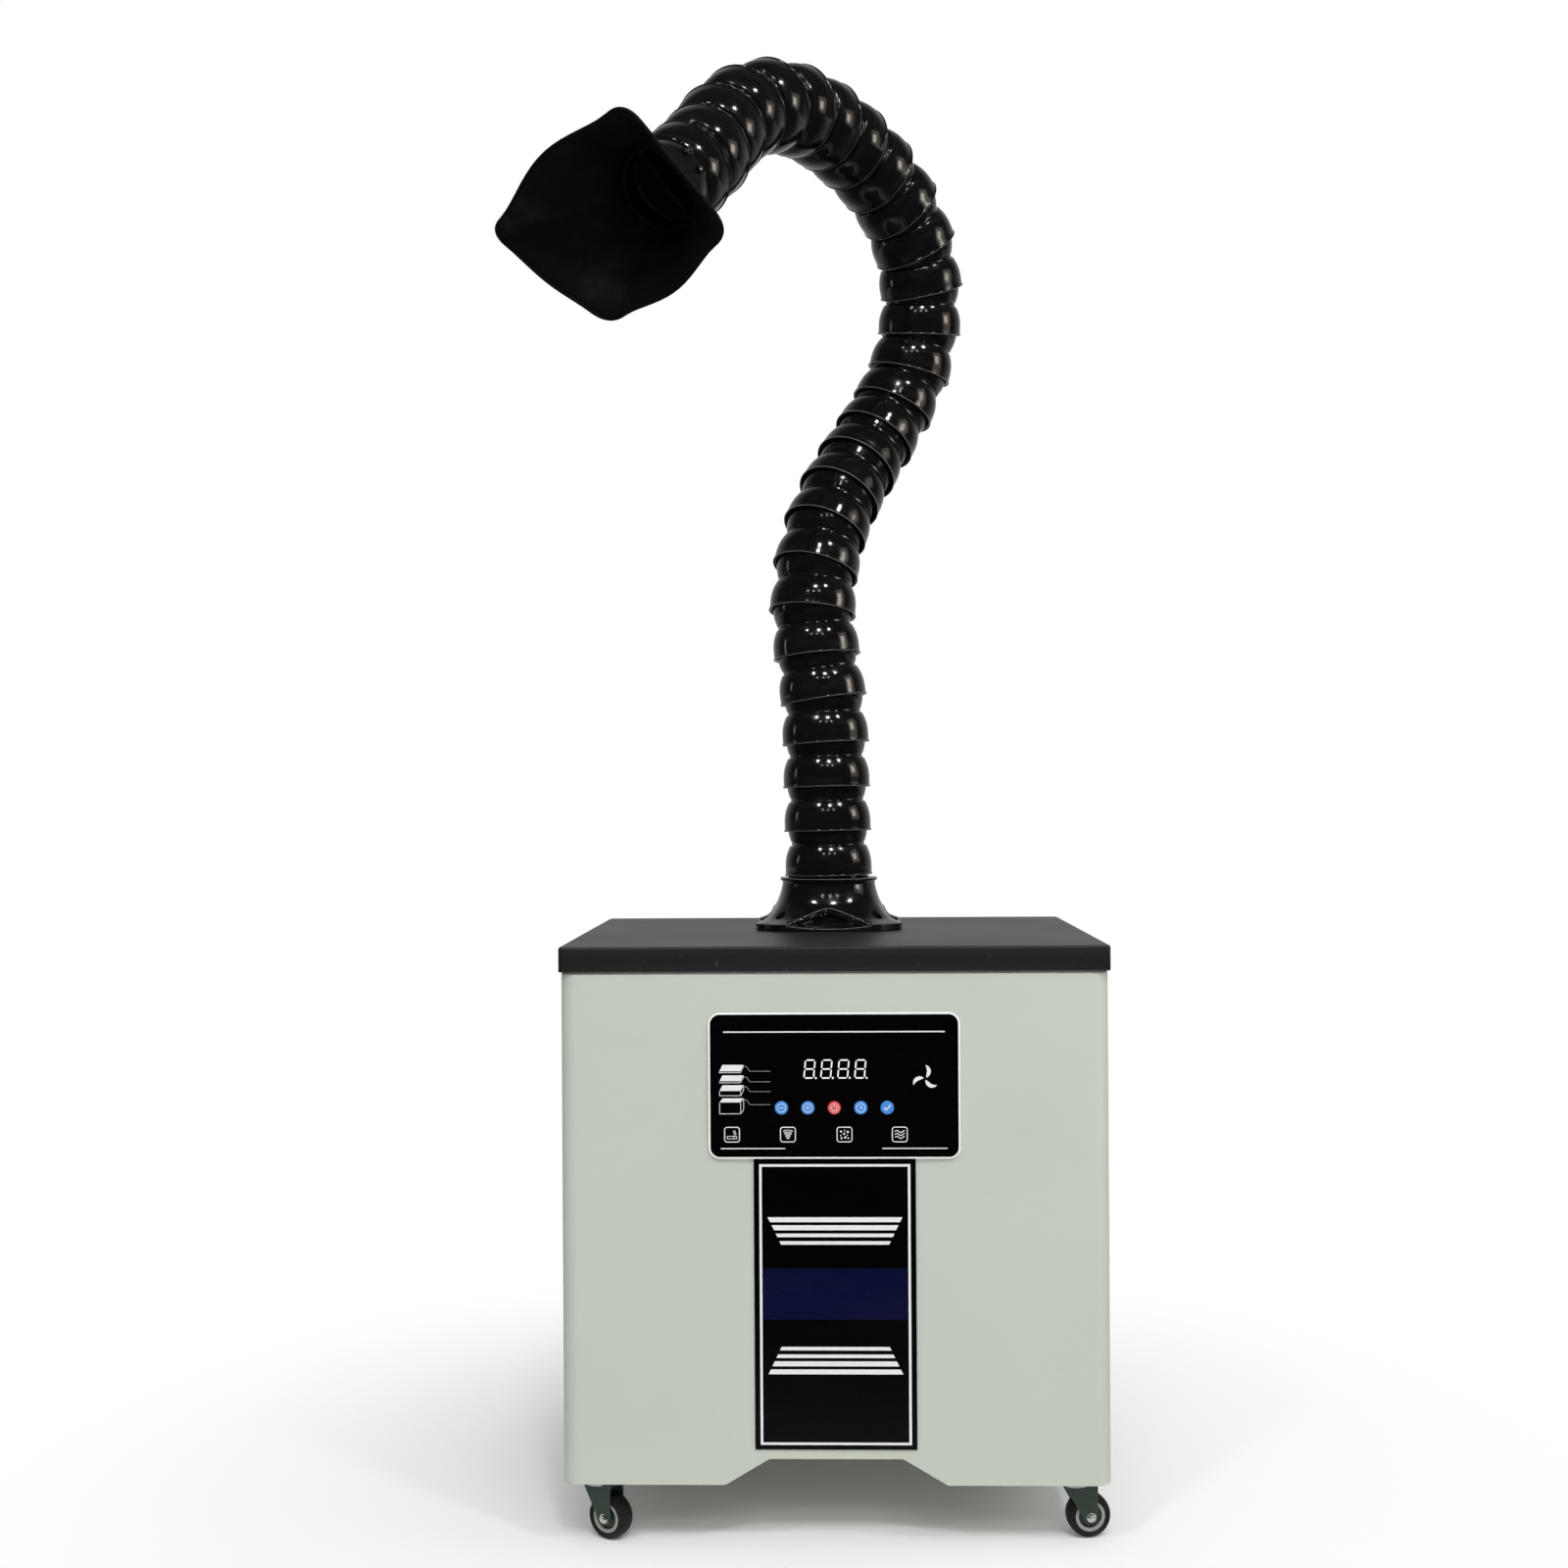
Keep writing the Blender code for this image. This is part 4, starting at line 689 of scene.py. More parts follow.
# Display: four digits of seven bars each with their points, leaning a little. They are lamps
# behind the film, so they glow faintly through it.
digits = bmesh.new()
wide, tall, bar, bar_gap = mm(8.4, 15.6, 1.25, 1.2)
first_digit, digit_pitch, digit_rise, digit_lean = *mm(-21.4, 14.76, 14.6), 0.09
point_radius, point_gap = mm(0.9, 1.3)
for number in range(4):
    x = first_digit + digit_pitch * number
    bars = []
    for z in (-tall / 2, 0, tall / 2):
        bars.append([(-wide / 2 + bar_gap, z), (wide / 2 - bar_gap, z)])
    for end in (-wide / 2, wide / 2):
        for low, high in ((-tall / 2, 0), (0, tall / 2)):
            bars.append([(end, low + bar_gap), (end, high - bar_gap)])
    for start, end in bars:
        way = (Vector(end) - Vector(start)).normalized()
        across = Vector((-way.y, way.x)) * bar / 2
        tip = way * bar / 2
        corners = [Vector(start) - tip, Vector(start) - across, Vector(end) - across,
                   Vector(end) + tip, Vector(end) + across, Vector(start) + across]
        leaned = [(x + point.x + digit_lean * point.y, fascia_z + digit_rise + point.y)
                  for point in corners]
        ink_patch(digits, leaned, ink_depth)
    ink_patch(digits, circle(point_radius, 10, x + wide / 2 + point_gap,
                             fascia_z + digit_rise - tall / 2), ink_depth)
printed("display_digits", digits, display_glow, "cabinet")

# Badge place: a plain rosette of three blades, a common sign for moving air, printed in the
# same white ink.
rosette = bmesh.new()
rosette_x, rosette_rise, blade_out, blade_thin = *mm(79.5, 6.2, 6.2), 0.9
blade_edge = [Vector((x * blade_thin, z))
              for x, z in moved(arc(0.0054, -80, 90, 14), 0.0, blade_out)]
blade_edge += [Vector(mm(*point)) for point in ((1.2, 9.4), (1.6, 6.2), (1.0, 3.0))]
for blade in range(3):
    turn = Matrix.Rotation(math.tau * blade / 3, 2)
    ink_patch(rosette, moved([tuple(turn @ point) for point in blade_edge], rosette_x,
                             fascia_z + rosette_rise), ink_depth)
printed("rosette", rosette, white_ink, "cabinet")

# Signs along the foot of the fascia: four rounded frames with plain drawings of smoke, dust,
# fine particles and moving air.
signs = bmesh.new()
sign_drop, sign_frame = mm(42.6, 0.8)
sign_spots = [(x, fascia_z - sign_drop) for x in mm(-89.5, -40.6, 8.8, 57.0)]
for x, z in sign_spots:
    ink_line(signs, rounded(*mm(13.0, 12.8, 2.2), 5, x, z), sign_frame, ink_depth, looped=True)


def ripple(width, height, turns, steps=16):
    """A wavy line."""
    return [(width * (step / steps - 0.5), height * math.sin(turns * math.tau * step / steps))
            for step in range(steps + 1)]


def upended(path):
    """The path stood on end."""
    return [(z, x) for x, z in path]


x, z = sign_spots[0]
plank_drop, puff_rise = mm(2.6, 1.6)
ink_line(signs, rounded(*mm(8.4, 2.2, 0.4), 2, x, z - plank_drop), fine, ink_depth, looped=True)
ink_line(signs, moved([mm(1.6, -3.6), mm(1.6, -1.6)], x, z), fine, ink_depth)
for shift in mm(1.6, 3.0):
    puff = upended(ripple(*mm(4.2, 0.5), 1))
    ink_line(signs, moved(puff, x + shift, z + puff_rise), fine, ink_depth)
x, z = sign_spots[1]
for wide, tall, rise in (mm(7.8, 1.8, 3.0), mm(6.0, 1.4, 0.8), mm(4.2, 1.1, -1.2),
                         mm(2.6, 0.8, -3.0)):
    oval = [(wide / 2 * across, tall / 2 * up) for across, up in circle(1, 20)]
    ink_line(signs, moved(oval, x, z + rise), fine, ink_depth, looped=True)
x, z = sign_spots[2]
for across, up, size in (mm(-3.0, 2.6, 0.9), mm(0.2, 3.4, 0.6), mm(2.9, 2.3, 1.0),
                         mm(-0.4, 0.6, 0.9), mm(-3.2, -0.9, 0.6), mm(2.4, -0.8, 0.6),
                         mm(0.6, -2.6, 1.0), mm(-2.6, -3.2, 0.8), mm(3.4, -3.3, 0.7)):
    ink_patch(signs, circle(size, 12, x + across, z + up), ink_depth)
x, z = sign_spots[3]
for rise in mm(-2.6, 0.0, 2.6):
    width, height, weight = mm(8.6, 0.9, 0.7)
    ink_line(signs, moved(ripple(width, height, 1.25), x, z + rise), weight, ink_depth)
printed("fascia_signs", signs, white_ink, "cabinet")

# Keys: five round caps in the fascia, four blue and the power key red, each with a plain
# symbol and all but the set key with a printed ring, and a soft rounded edge.
blue_cap = coated("blue_key", moulded, {"Colour": (0.045, 0.250, 0.700), "Roughness": 0.36,
                                        "Wear": 0.03})
red_cap = coated("red_key", moulded, {"Colour": (0.640, 0.020, 0.018), "Roughness": 0.36,
                                      "Wear": 0.03})
key_cap = (mm(0.2, -1.0), mm(4.8, -1.0), mm(5.3, -0.9), mm(5.6, -0.7), mm(5.8, -0.3),
           mm(5.8, 1.9))
level, upright = [mm(-1.8, 0), mm(1.8, 0)], [mm(0, -1.8), mm(0, 1.8)]
sign_of = {
    "fan_down": [level],
    "fan_up": [level, upright],
    "power": [arc(0.0024, 125, 415), [mm(0, 0.2), mm(0, 3.4)]],
    "timer": [[mm(0, 2.2), mm(0, -0.2), mm(1.6, -0.2)]],
    "set": [[mm(-2.7, 0.1), mm(-0.8, -2.0), mm(2.9, 2.6)]],
}
sign_lift = 0.00104
for (x, z), (key, strokes) in zip(key_spots, sign_of.items()):
    cap = bmesh.new()
    skinned(cap, [at_depth(circle(radius, 40, x, z), fascia_face + depth)
                  for radius, depth in key_cap])
    colour, plastic = ("red_key", red_cap) if key == "power" else ("blue_key", blue_cap)
    fit(f"key_{key}_cap", as_mesh(f"key_{key}_cap", cap), plastic, f"key_{key}",
        stands_for=[f"button_{key}"])
    symbol = bmesh.new()
    face = fascia_face - sign_lift
    stroke_weight = mm(1.0 if key == "set" else 0.6)[0]
    for stroke in strokes:
        ink_line(symbol, moved(stroke, x, z), stroke_weight, face)
    if key != "set":
        ring_radius, ring_weight = mm(4.1, 0.4) if key == "power" else mm(3.7, 0.5)
        ink_line(symbol, moved(arc(ring_radius, 0, 350, 35), x, z), ring_weight, face,
                 looped=True)
    printed(f"key_{key}_sign", symbol, white_ink, f"key_{key}")

# Front plate: black film on thin sheet under the fascia, with a white frame line, two sets of
# four slanted bars and a navy band between them. The places for words are left bare.
plate_film = coated("plate_film", film, {"Colour": (0.0003, 0.0003, 0.0004),
                                         "Roughness": 0.24}, Specular_IOR_Level=0.12)
navy_ink = coated("navy_ink", film, {"Colour": (0.0016, 0.0032, 0.0300), "Roughness": 0.26},
                  Specular_IOR_Level=0.12)
plate_face, plate_back = mm(-191.3, -190.3)
plate_low, plate_high, plate_half = mm(88.8, 343.3, 70.85)
outline = rounded(2 * plate_half, plate_high - plate_low, 0.0006, 3, 0,
                  (plate_low + plate_high) / 2)
plate = as_mesh("front_plate", skinned(bmesh.new(), [at_depth(outline, plate_face),
                                                     at_depth(outline, plate_back)]))
fit("front_plate", worked(plate, ("ROUND", 0.0002)), plate_film, "cabinet",
    stands_for=["front_label_plate"])
ink_depth = plate_face - 0.00005
frame_line, bars, band = bmesh.new(), bmesh.new(), bmesh.new()
frame_half, frame_low, frame_high, frame_weight = mm(65.0, 94.1, 337.5, 2.2)
ink_line(frame_line, [(-frame_half, frame_low), (frame_half, frame_low),
                      (frame_half, frame_high), (-frame_half, frame_high)], frame_weight,
         ink_depth, looped=True)
printed("plate_frame_line", frame_line, white_ink, "cabinet")
bar_rows = ((292.2, 287.9, 59.0), (285.2, 280.8, 55.5), (277.9, 274.8, 52.0),
            (271.3, 268.2, 48.8))
mirror_sum, bar_slant = 447.0, 0.52
for high, low, reach in bar_rows:
    for mirrored in (False, True):
        top, bottom = (mirror_sum - low, mirror_sum - high) if mirrored else (high, low)
        cut = (high - low) * bar_slant
        wide_end, narrow_end = (reach - cut, reach) if mirrored else (reach, reach - cut)
        outline = (mm(-wide_end, top), mm(wide_end, top), mm(narrow_end, bottom),
                   mm(-narrow_end, bottom))
        ink_patch(bars, outline, ink_depth)
printed("plate_bars", bars, white_ink, "cabinet")
band_width, band_height, band_corner, band_z = mm(126.4, 44.8, 0.1, 225.0)
ink_patch(band, rounded(band_width, band_height, band_corner, 1, 0, band_z), ink_depth)
printed("plate_band", band, navy_ink, "cabinet")


# Casters: pressed and enamelled fork with a ball raceway, an axle bolt with nut, and a wheel of
# black tyre, light grey ring and dark hub. Each swivels on its own plate.
enamel = coated("caster_enamel", powder, {"Colour": (0.013, 0.036, 0.020), "Roughness": 0.30,
                                          "Peel": 700.0, "Soiling": 0.5})
tyre_rubber = coated("tyre_rubber", moulded, {"Colour": (0.006, 0.006, 0.006),
                                              "Roughness": 0.66, "Grain": 400.0,
                                              "Depth": 0.00008, "Wear": 0.14},
                     Specular_IOR_Level=0.3)
ring_grey = coated("wheel_ring", moulded, {"Colour": (0.30, 0.31, 0.29), "Roughness": 0.50,
                                           "Wear": 0.3})
hub_plastic = coated("wheel_hub", moulded, {"Colour": (0.020, 0.024, 0.022),
                                            "Roughness": 0.45, "Wear": 0.1})
fork_top, wheel_radius, wheel_half, trail = mm(54.9, 19.5, 8.25, 12)
leg_in, leg_out = mm(8.75, 10.75)
fork_back, fork_end = mm(13, 6.5)
fork_outline = ([(-fork_back, fork_top), (-fork_back, fork_top - 0.0045),
                 (-0.0105, fork_top - 0.009)]
                + moved(arc(fork_end, 205, 350, 12), trail, wheel_radius)
                + [(trail + fork_end, fork_top - 0.006), (trail + fork_end, fork_top)])
fork = as_mesh("caster_fork", skinned(bmesh.new(), [at_depth(fork_outline, -leg_out),
                                                    at_depth(fork_outline, leg_out)]))
room = bmesh.new()
room_back, room_front, room_low, web = mm(-30, 50, -10, 3.2)
skinned(room, [at_height([(room_back, -leg_in), (room_front, -leg_in), (room_front, leg_in),
                          (room_back, leg_in)], z) for z in (room_low, fork_top - web)])
fork = worked(fork, ("DIFFERENCE", as_mesh("wheel_room", room)), ("ROUND", 0.0008))
raceway = turned("raceway", ((0.0145, fork_top - 0.0072), (0.0150, fork_top - 0.0066),
                             (0.0150, fork_top - 0.0034), (0.0020, fork_top - 0.0034),
                             (0.0020, fork_top - 0.0072)), 36, closed=True)
to_side = Matrix.Rotation(math.pi / 2, 4, "X")
bolt = bmesh.new()
washer, nut, thread = (((4.2, 0.0), (4.2, 0.6)), ((3.3, 0.6), (3.3, 2.4), (2.9, 2.8)),
                       ((1.7, 2.8), (1.4, 3.8)))
for side in (-1, 1):
    for steps, sides in ((washer, 28), (nut, 6), (thread, 16)):
        skinned(bolt, [at_depth(circle(radius, sides, trail, wheel_radius),
                                side * leg_out + side * out)
                       for radius, out in (mm(*step) for step in steps)])
axle_radius = mm(2.8)[0]
skinned(bolt, [at_depth(circle(axle_radius, 20, trail, wheel_radius), y)
               for y in (-leg_in, leg_in)])
bolt = as_mesh("axle_bolt", bolt)
tread = ((0.0135, -0.0080), (0.0165, -wheel_half), (0.0182, -0.0076), (0.0190, -0.0060),
         (wheel_radius - 0.0001, -0.0035), (wheel_radius, 0.0))
tread = tread + tuple((radius, -depth) for radius, depth in tread[-2::-1])
tyre = turned("tyre", tread + ((0.0130, 0.0060), (0.0130, -0.0060)), 64, closed=True)
ring = turned("wheel_ring", ((0.0104, -0.0072), (0.0108, -0.0078), (0.0128, -0.0080),
                             (0.0135, -0.0078), (0.0135, 0.0078), (0.0128, 0.0080),
                             (0.0108, 0.0078), (0.0104, 0.0072)), 56, closed=True)
hub = turned("wheel_hub", ((0.0034, -0.0082), (0.0058, -0.0082), (0.0062, -0.0078),
                           (0.0066, -0.0056), (0.0100, -0.0052), (0.0105, -0.0060),
                           (0.0105, 0.0060), (0.0100, 0.0052), (0.0066, 0.0056),
                           (0.0062, 0.0078), (0.0058, 0.0082), (0.0034, 0.0082)), 48,
             closed=True)
joints = {joint["name"]: joint for joint in frame["joints"]}
for name, joint in joints.items():
    if name.startswith("swivel_"):
        corner = name.removeprefix("swivel_")
        pivot = Vector(joint["pos_m"])
        hung = Vector(joints[f"wheel_{corner}_roll"]["pos_m"])
        turn = math.atan2(hung.y - pivot.y, hung.x - pivot.x)
        stand = Matrix.Translation((pivot.x, pivot.y, 0)) @ Matrix.Rotation(turn, 4, "Z")
        fit(f"fork_{corner}", fork, enamel, name, stand,
            stands_for=[f"caster_fork_{corner}"])
        fit(f"raceway_{corner}", raceway, zinc, name, stand)
        fit(f"axle_bolt_{corner}", bolt, bright_metal, name, stand)
        spin = (Matrix.Translation(hung) @ Matrix.Rotation(turn, 4, "Z") @ to_side)
        rolling = f"wheel_{corner}"
        fit(f"tyre_{corner}", tyre, tyre_rubber, rolling, spin,
            stands_for=[f"caster_wheel_{corner}"])
        fit(f"wheel_ring_{corner}", ring, ring_grey, rolling, spin)
        fit(f"wheel_hub_{corner}", hub, hub_plastic, rolling, spin)

# Filters: a tinplate carbon box, a deep pleated filter, a fine pleated filter and a washable mesh
# in an aluminium frame, stacked on the shelf. Their rims show when the lid is off.
pleats, takes, out = effect("pleated_media", {"Colour": (0.6, 0.6, 0.6, 1), "Roughness": 0.85,
                                              "Pitch": 90.0, "Depth": 0.004})
where = add(pleats, "ShaderNodeTexCoord").outputs["Object"]
folds = add(pleats, "ShaderNodeTexWave", {"Vector": where, "Scale": takes["Pitch"],
                                          "Distortion": 0.6, "Detail": 1.0},
            wave_type="BANDS", bands_direction="X", wave_profile="TRI").outputs["Fac"]
fuzz = add(pleats, "ShaderNodeTexNoise", {"Vector": where, "Scale": 420.0,
                                          "Detail": 4.0}).outputs["Fac"]
# The colour darkens towards each pleat's valley: painted shade in the folds.
give(pleats, out, blended(pleats, banded(pleats, folds, 0.0, 0.6, 0.55, 0.0), takes["Colour"],
                          (0.22, 0.21, 0.19, 1)),
     total(pleats, fuzz, 0.12, total(pleats, takes["Roughness"], 1.0, -0.06)), folds,
     takes["Depth"])
carbon_steel = coated("carbon_box_steel", metal, {"Colour": (0.36, 0.36, 0.35),
                                                  "Roughness": 0.46}, 0.8)
card = coated("filter_card", moulded, {"Colour": (0.52, 0.50, 0.44), "Roughness": 0.86,
                                       "Grain": 320.0, "Depth": 0.0001, "Wear": 0.25})
media = coated("pleated_paper", pleats, {"Colour": (0.70, 0.69, 0.64), "Pitch": 26.0})
mesh_metal = coated("prefilter_mesh", metal, {"Colour": (0.50, 0.51, 0.52), "Roughness": 0.42,
                                              "Grain": 1200.0, "Depth": 0.0004}, 1.0)
for name, material, slot in (("hepa_carbon_box", carbon_steel, "carbon_box"),
                             ("medium_filter", card, "filter_media"),
                             ("primary_filter", card, "filter_media"),
                             ("filter_shelf", zinc, "zinc_steel")):
    coat_solid(name, material)
low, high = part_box("washable_prefilter")
long, deep, rim = mm(460, 356, 14)
tray = bmesh.new()
skinned(tray, [at_height(rounded(long - 2 * inset, deep - 2 * inset, 0.002, 3), z)
               for inset, z in ((rim, low.z + 0.001), (0.001, low.z + 0.001), (0, low.z + 0.002),
                                (0, high.z - 0.001), (0.001, high.z), (rim - 0.001, high.z),
                                (rim, high.z - 0.001), (rim, low.z + 0.001))][:-1], closed=True)
fit("prefilter_frame", as_mesh("prefilter_frame", tray), mesh_metal, "cabinet",
    stands_for=["washable_prefilter"])
corrugated = bmesh.new()
rows = []
folds_across, fold_top, fold_drop, tucked = 96, *mm(6, 10, 1)
for step in range(folds_across + 1):
    x = (long / 2 - rim + tucked) * (2 * step / folds_across - 1)
    z = high.z - fold_top - fold_drop * (step % 2)
    rows.append([corrugated.verts.new((x, y, z)) for y in (rim - deep / 2, 0.0, deep / 2 - rim)])
for row, other in zip(rows, rows[1:]):
    for here in range(2):
        corrugated.faces.new((row[here], row[here + 1], other[here + 1], other[here]))
pleat_mesh = bpy.data.meshes.new("prefilter_pleats")
corrugated.to_mesh(pleat_mesh)
corrugated.free()
fit("prefilter_pleats", pleat_mesh, media, "cabinet")
wires = bmesh.new()
wire_half, wire_low, wire_high = 0.0004, high.z - 0.0032, high.z - 0.0024
wires_along, wires_across = 45, 35
for number in range(1, wires_along):
    x = (long / 2 - rim) * (2 * number / wires_along - 1)
    skinned(wires, [[(x - wire_half, y, wire_low), (x + wire_half, y, wire_low),
                     (x, y, wire_high)] for y in (rim - deep / 2, deep / 2 - rim)])
for number in range(1, wires_across):
    y = (deep / 2 - rim) * (2 * number / wires_across - 1)
    skinned(wires, [[(x, y - wire_half, wire_low), (x, y + wire_half, wire_low),
                     (x, y, wire_high)] for x in (rim - long / 2, long / 2 - rim)])
fit("prefilter_wires", as_mesh("prefilter_wires", wires), zinc, "cabinet")

# Fan: a zinc-plated sheet scroll housing, a painted motor and a black moulded impeller, hung
# under the filter shelf. They keep their solids and get these finishes.
motor_paint = coated("motor_paint", powder, {"Colour": (0.075, 0.077, 0.082),
                                             "Roughness": 0.42, "Soiling": 0.3})
fan_plastic = coated("impeller_plastic", moulded, {"Colour": (0.028, 0.028, 0.030),
                                                   "Roughness": 0.5, "Wear": 0.15})
for name, material, slot in (("blower_housing", zinc, "zinc_steel"),
                             ("blower_motor", motor_paint, "motor_paint"),
                             ("blower_impeller", fan_plastic, "impeller_plastic")):
    coat_solid(name, material)

# Arm flange: one glossy black moulding. A cut-cornered foot with four screw slots sweeps up to a
# round neck, with a raised arch on each side, a double lip and the first ball on top.
gloss, takes, out = effect("glossy_moulding", {"Colour": (0.005, 0.005, 0.006, 1),
                                               "Roughness": 0.12, "Wave": 22.0,
                                               "Depth": 0.00006, "Scuffs": 0.2})
where = add(gloss, "ShaderNodeTexCoord").outputs["Object"]
swell = add(gloss, "ShaderNodeTexNoise", {"Vector": where, "Scale": takes["Wave"],
                                          "Detail": 1.5}).outputs["Fac"]
streaks = add(gloss, "ShaderNodeMapping", {"Vector": where,
                                           "Scale": (34.0, 34.0, 150.0)}).outputs[0]
rubbed = add(gloss, "ShaderNodeTexNoise", {"Vector": streaks, "Scale": 1.0, "Detail": 6.0,
                                           "Roughness": 0.65}).outputs["Fac"]
scuffed = add(gloss, "ShaderNodeMath", {0: banded(gloss, rubbed, 0.48, 0.74),
                                        1: takes["Scuffs"]}, operation="MULTIPLY").outputs[0]
motes = add(gloss, "ShaderNodeTexNoise", {"Vector": where, "Scale": 640.0, "Detail": 1.0})
dusty = banded(gloss, motes.outputs["Fac"], 0.72, 0.82, 0.0, 0.12)
film_of_dust = blended(gloss, scuffed, takes["Colour"], (0.040, 0.039, 0.037, 1))
give(gloss, out, blended(gloss, dusty, film_of_dust, (0.10, 0.098, 0.094, 1)),
     total(gloss, scuffed, 0.9, takes["Roughness"]), swell, takes["Depth"])
gloss_black = coated("gloss_black_plastic", gloss, {
    "Colour": (0.0030, 0.0031, 0.0034), "Scuffs": 0.13, "Roughness": 0.105},
    Specular_IOR_Level=0.5)
# A lighter grey for moulded edges: mostly a painted highlight, the light line along beads and
# ridges, with some scuffing.
edge_highlight = coated("moulding_edge_painted_highlight", gloss, {"Colour": (0.11, 0.11, 0.105),
                                                     "Scuffs": 0.3, "Roughness": 0.30})


def smooth_step(value):
    """0 below 0, 1 above 1, and a soft S between."""
    value = min(1.0, max(0.0, value))
    return value * value * (3 - 2 * value)


def through(stations, value):
    """A smooth curve through (place, height) stations."""
    for number, ((start, low), (end, high)) in enumerate(zip(stations, stations[1:])):
        if value <= end or number == len(stations) - 2:
            before = stations[max(0, number - 1)]
            after = stations[min(len(stations) - 1, number + 2)]
            enter = (high - before[1]) / (end - before[0])
            leave = (after[1] - low) / (after[0] - start)
            span = end - start
            share = (value - start) / span
            return ((2 * share ** 3 - 3 * share ** 2 + 1) * low
                    + (share ** 3 - 2 * share ** 2 + share) * span * enter
                    + (3 * share ** 2 - 2 * share ** 3) * high
                    + (share ** 3 - share ** 2) * span * leave)


flange_half, cut_corner, neck_radius = mm(72, 24, 46.6)
arch_half, arch_foot, arch_rise, sill_drop = mm(41, 5.5, 15, 3.2)
groove_depth, groove_run, pocket_depth, pocket_start, pocket_run = mm(1.6, 1.0, 6.0, 4.6, 1.6)
ridge_height, ridge_over, ridge_under, ridge_soft, sill_soft = mm(1.0, 0.6, 0.5, 0.9, 0.8)
sweep = ((0.006, 1.0), (0.011, 0.62), (0.023, 0.27), (0.033, 0.10), (0.043, 0.0), (0.0465, 0.0))
flange_turns = 256


def flange_reach(turn):
    """How far the foot reaches: a square with cut corners, softened where its sides meet."""
    across, along = abs(math.cos(turn)), abs(math.sin(turn))
    sides = (across / flange_half, along / flange_half,
             (across + along) / (2 * flange_half - cut_corner))
    return sum(side ** 26 for side in sides) ** (-1 / 26)


def side_arch(turn, reach):
    """How far aside a point is, as a share of the arch's half width, and arch and sill there."""
    side_turn = (turn + math.pi / 4) % (math.pi / 2) - math.pi / 4
    spread = abs(reach * math.sin(side_turn)) / arch_half
    hump = max(0.0, (math.sqrt(1.02) - math.sqrt(spread ** 2 + 0.02)) / 0.869)
    return (spread, arch_foot + arch_rise * hump,
            arch_foot - sill_drop * max(0.0, 1 - spread ** 2))


def flange_ring(z, inset=0.0):
    """A ring of the sweep, pushed in below the arch on each side and raised along its edge."""
    ring = []
    share = 1.0 if z <= sweep[0][0] else through(sweep, z)
    for number in range(flange_turns):
        turn = math.tau * number / flange_turns
        reach = neck_radius + share * (flange_reach(turn) - neck_radius) - inset
        spread, arch, sill = side_arch(turn, reach)
        if spread < 1.1:
            below, above = arch - z, z - sill
            sunk = groove_depth * smooth_step(below / groove_run)
            sunk += pocket_depth * smooth_step((below - pocket_start) / pocket_run)
            sunk *= smooth_step(above / groove_run)
            ridge = math.exp(-((below + ridge_over) / ridge_soft) ** 2)
            ridge += 0.8 * math.exp(-((above + ridge_under) / sill_soft) ** 2)
            reach += (ridge_height * ridge - sunk) * smooth_step((1.1 - spread) / 0.1)
        ring.append((reach * math.cos(turn), reach * math.sin(turn), z))
    return ring


def gathered(whole, part, move):
    """Move a shape and add it to another."""
    part.transform(move)
    carried = bpy.data.meshes.new("carried")
    part.to_mesh(carried)
    part.free()
    whole.from_mesh(carried)
    bpy.data.meshes.remove(carried)


def ball_ring(radius, angle, middle_z, sides):
    """A ring of a ball about a height, at an angle above its equator in degrees."""
    angle = math.radians(angle)
    return at_height(circle(radius * math.cos(angle), sides), middle_z + radius * math.sin(angle))


ball_radius, ball_z, duct_radius = mm(40.1, 57, 34.5)
foot_edge, foot_rise, neck_rise, foot_rings, sweep_rings = *mm(0.8, 4.8, 40.9), 12, 60
rings = [at_height(circle(duct_radius, flange_turns), 0), flange_ring(0, foot_edge),
         flange_ring(*mm(0.3, 0.2)), flange_ring(foot_edge)]
rings += [flange_ring(foot_edge + foot_rise * step / foot_rings)
          for step in range(1, foot_rings + 1)]
rings += [flange_ring(foot_edge + foot_rise + neck_rise * (step / sweep_rings) ** 1.25)
          for step in range(1, sweep_rings + 1)]
lips = ((46.9, 46.6), (48.3, 46.7), (48.75, 46.95), (48.75, 47.5), (48.3, 47.85),
        (48.05, 48.1), (48.3, 48.4), (48.8, 48.75), (48.8, 49.5), (48.3, 49.9),
        (47.2, 50.0), (43.2, 50.0), (41.6, 49.8))
rings += [at_height(circle(radius / 1000, flange_turns), z / 1000) for radius, z in lips]
rings += [ball_ring(ball_radius, angle, ball_z, flange_turns)
          for angle in (-9, -5, 0, 5, 10, 16)]
rings += [at_height(circle(radius, flange_turns), z)
          for radius, z in (mm(38.0, 68.4), mm(35.0, 68.5), mm(34.5, 68.1))]
flange = as_mesh("flange_moulding", skinned(bmesh.new(), rings, closed=True))
slots = bmesh.new()
hole_reach, hole_floor = mm(66.5, 3)
to_corners = [Matrix.Rotation((corner + 0.5) * math.pi / 2, 4, "Z") for corner in range(4)]
for to_corner in to_corners:
    slot = skinned(bmesh.new(), [at_height(rounded(*mm(10.0, 11.2, 4.9)), z)
                                 for z in (hole_floor, 0.05)])
    gathered(slots, slot, to_corner @ Matrix.Translation((hole_reach, 0, 0)))
flange = worked(flange, ("DIFFERENCE", as_mesh("flange_slots", slots)))
flange.materials.append(gloss_black)
flange.materials.append(edge_highlight)
ridge_half, lip_reach, lip_low = mm(0.45, 48.6, 48.5)
# Faces along the arch ridges and on the top of the lip get the lighter grey: painted highlight
# lines.
for face in flange.polygons:
    x, y, z = face.center
    reach = math.hypot(x, y)
    spread, arch, sill = side_arch(math.atan2(y, x), reach)
    from_ridge = min(abs(z - arch - ridge_over), abs(z - sill + ridge_under))
    on_ridge = spread < 1.02 and from_ridge < ridge_half
    on_lip = lip_reach < reach and lip_low < z
    face.material_index = 1 if on_ridge or on_lip else 0
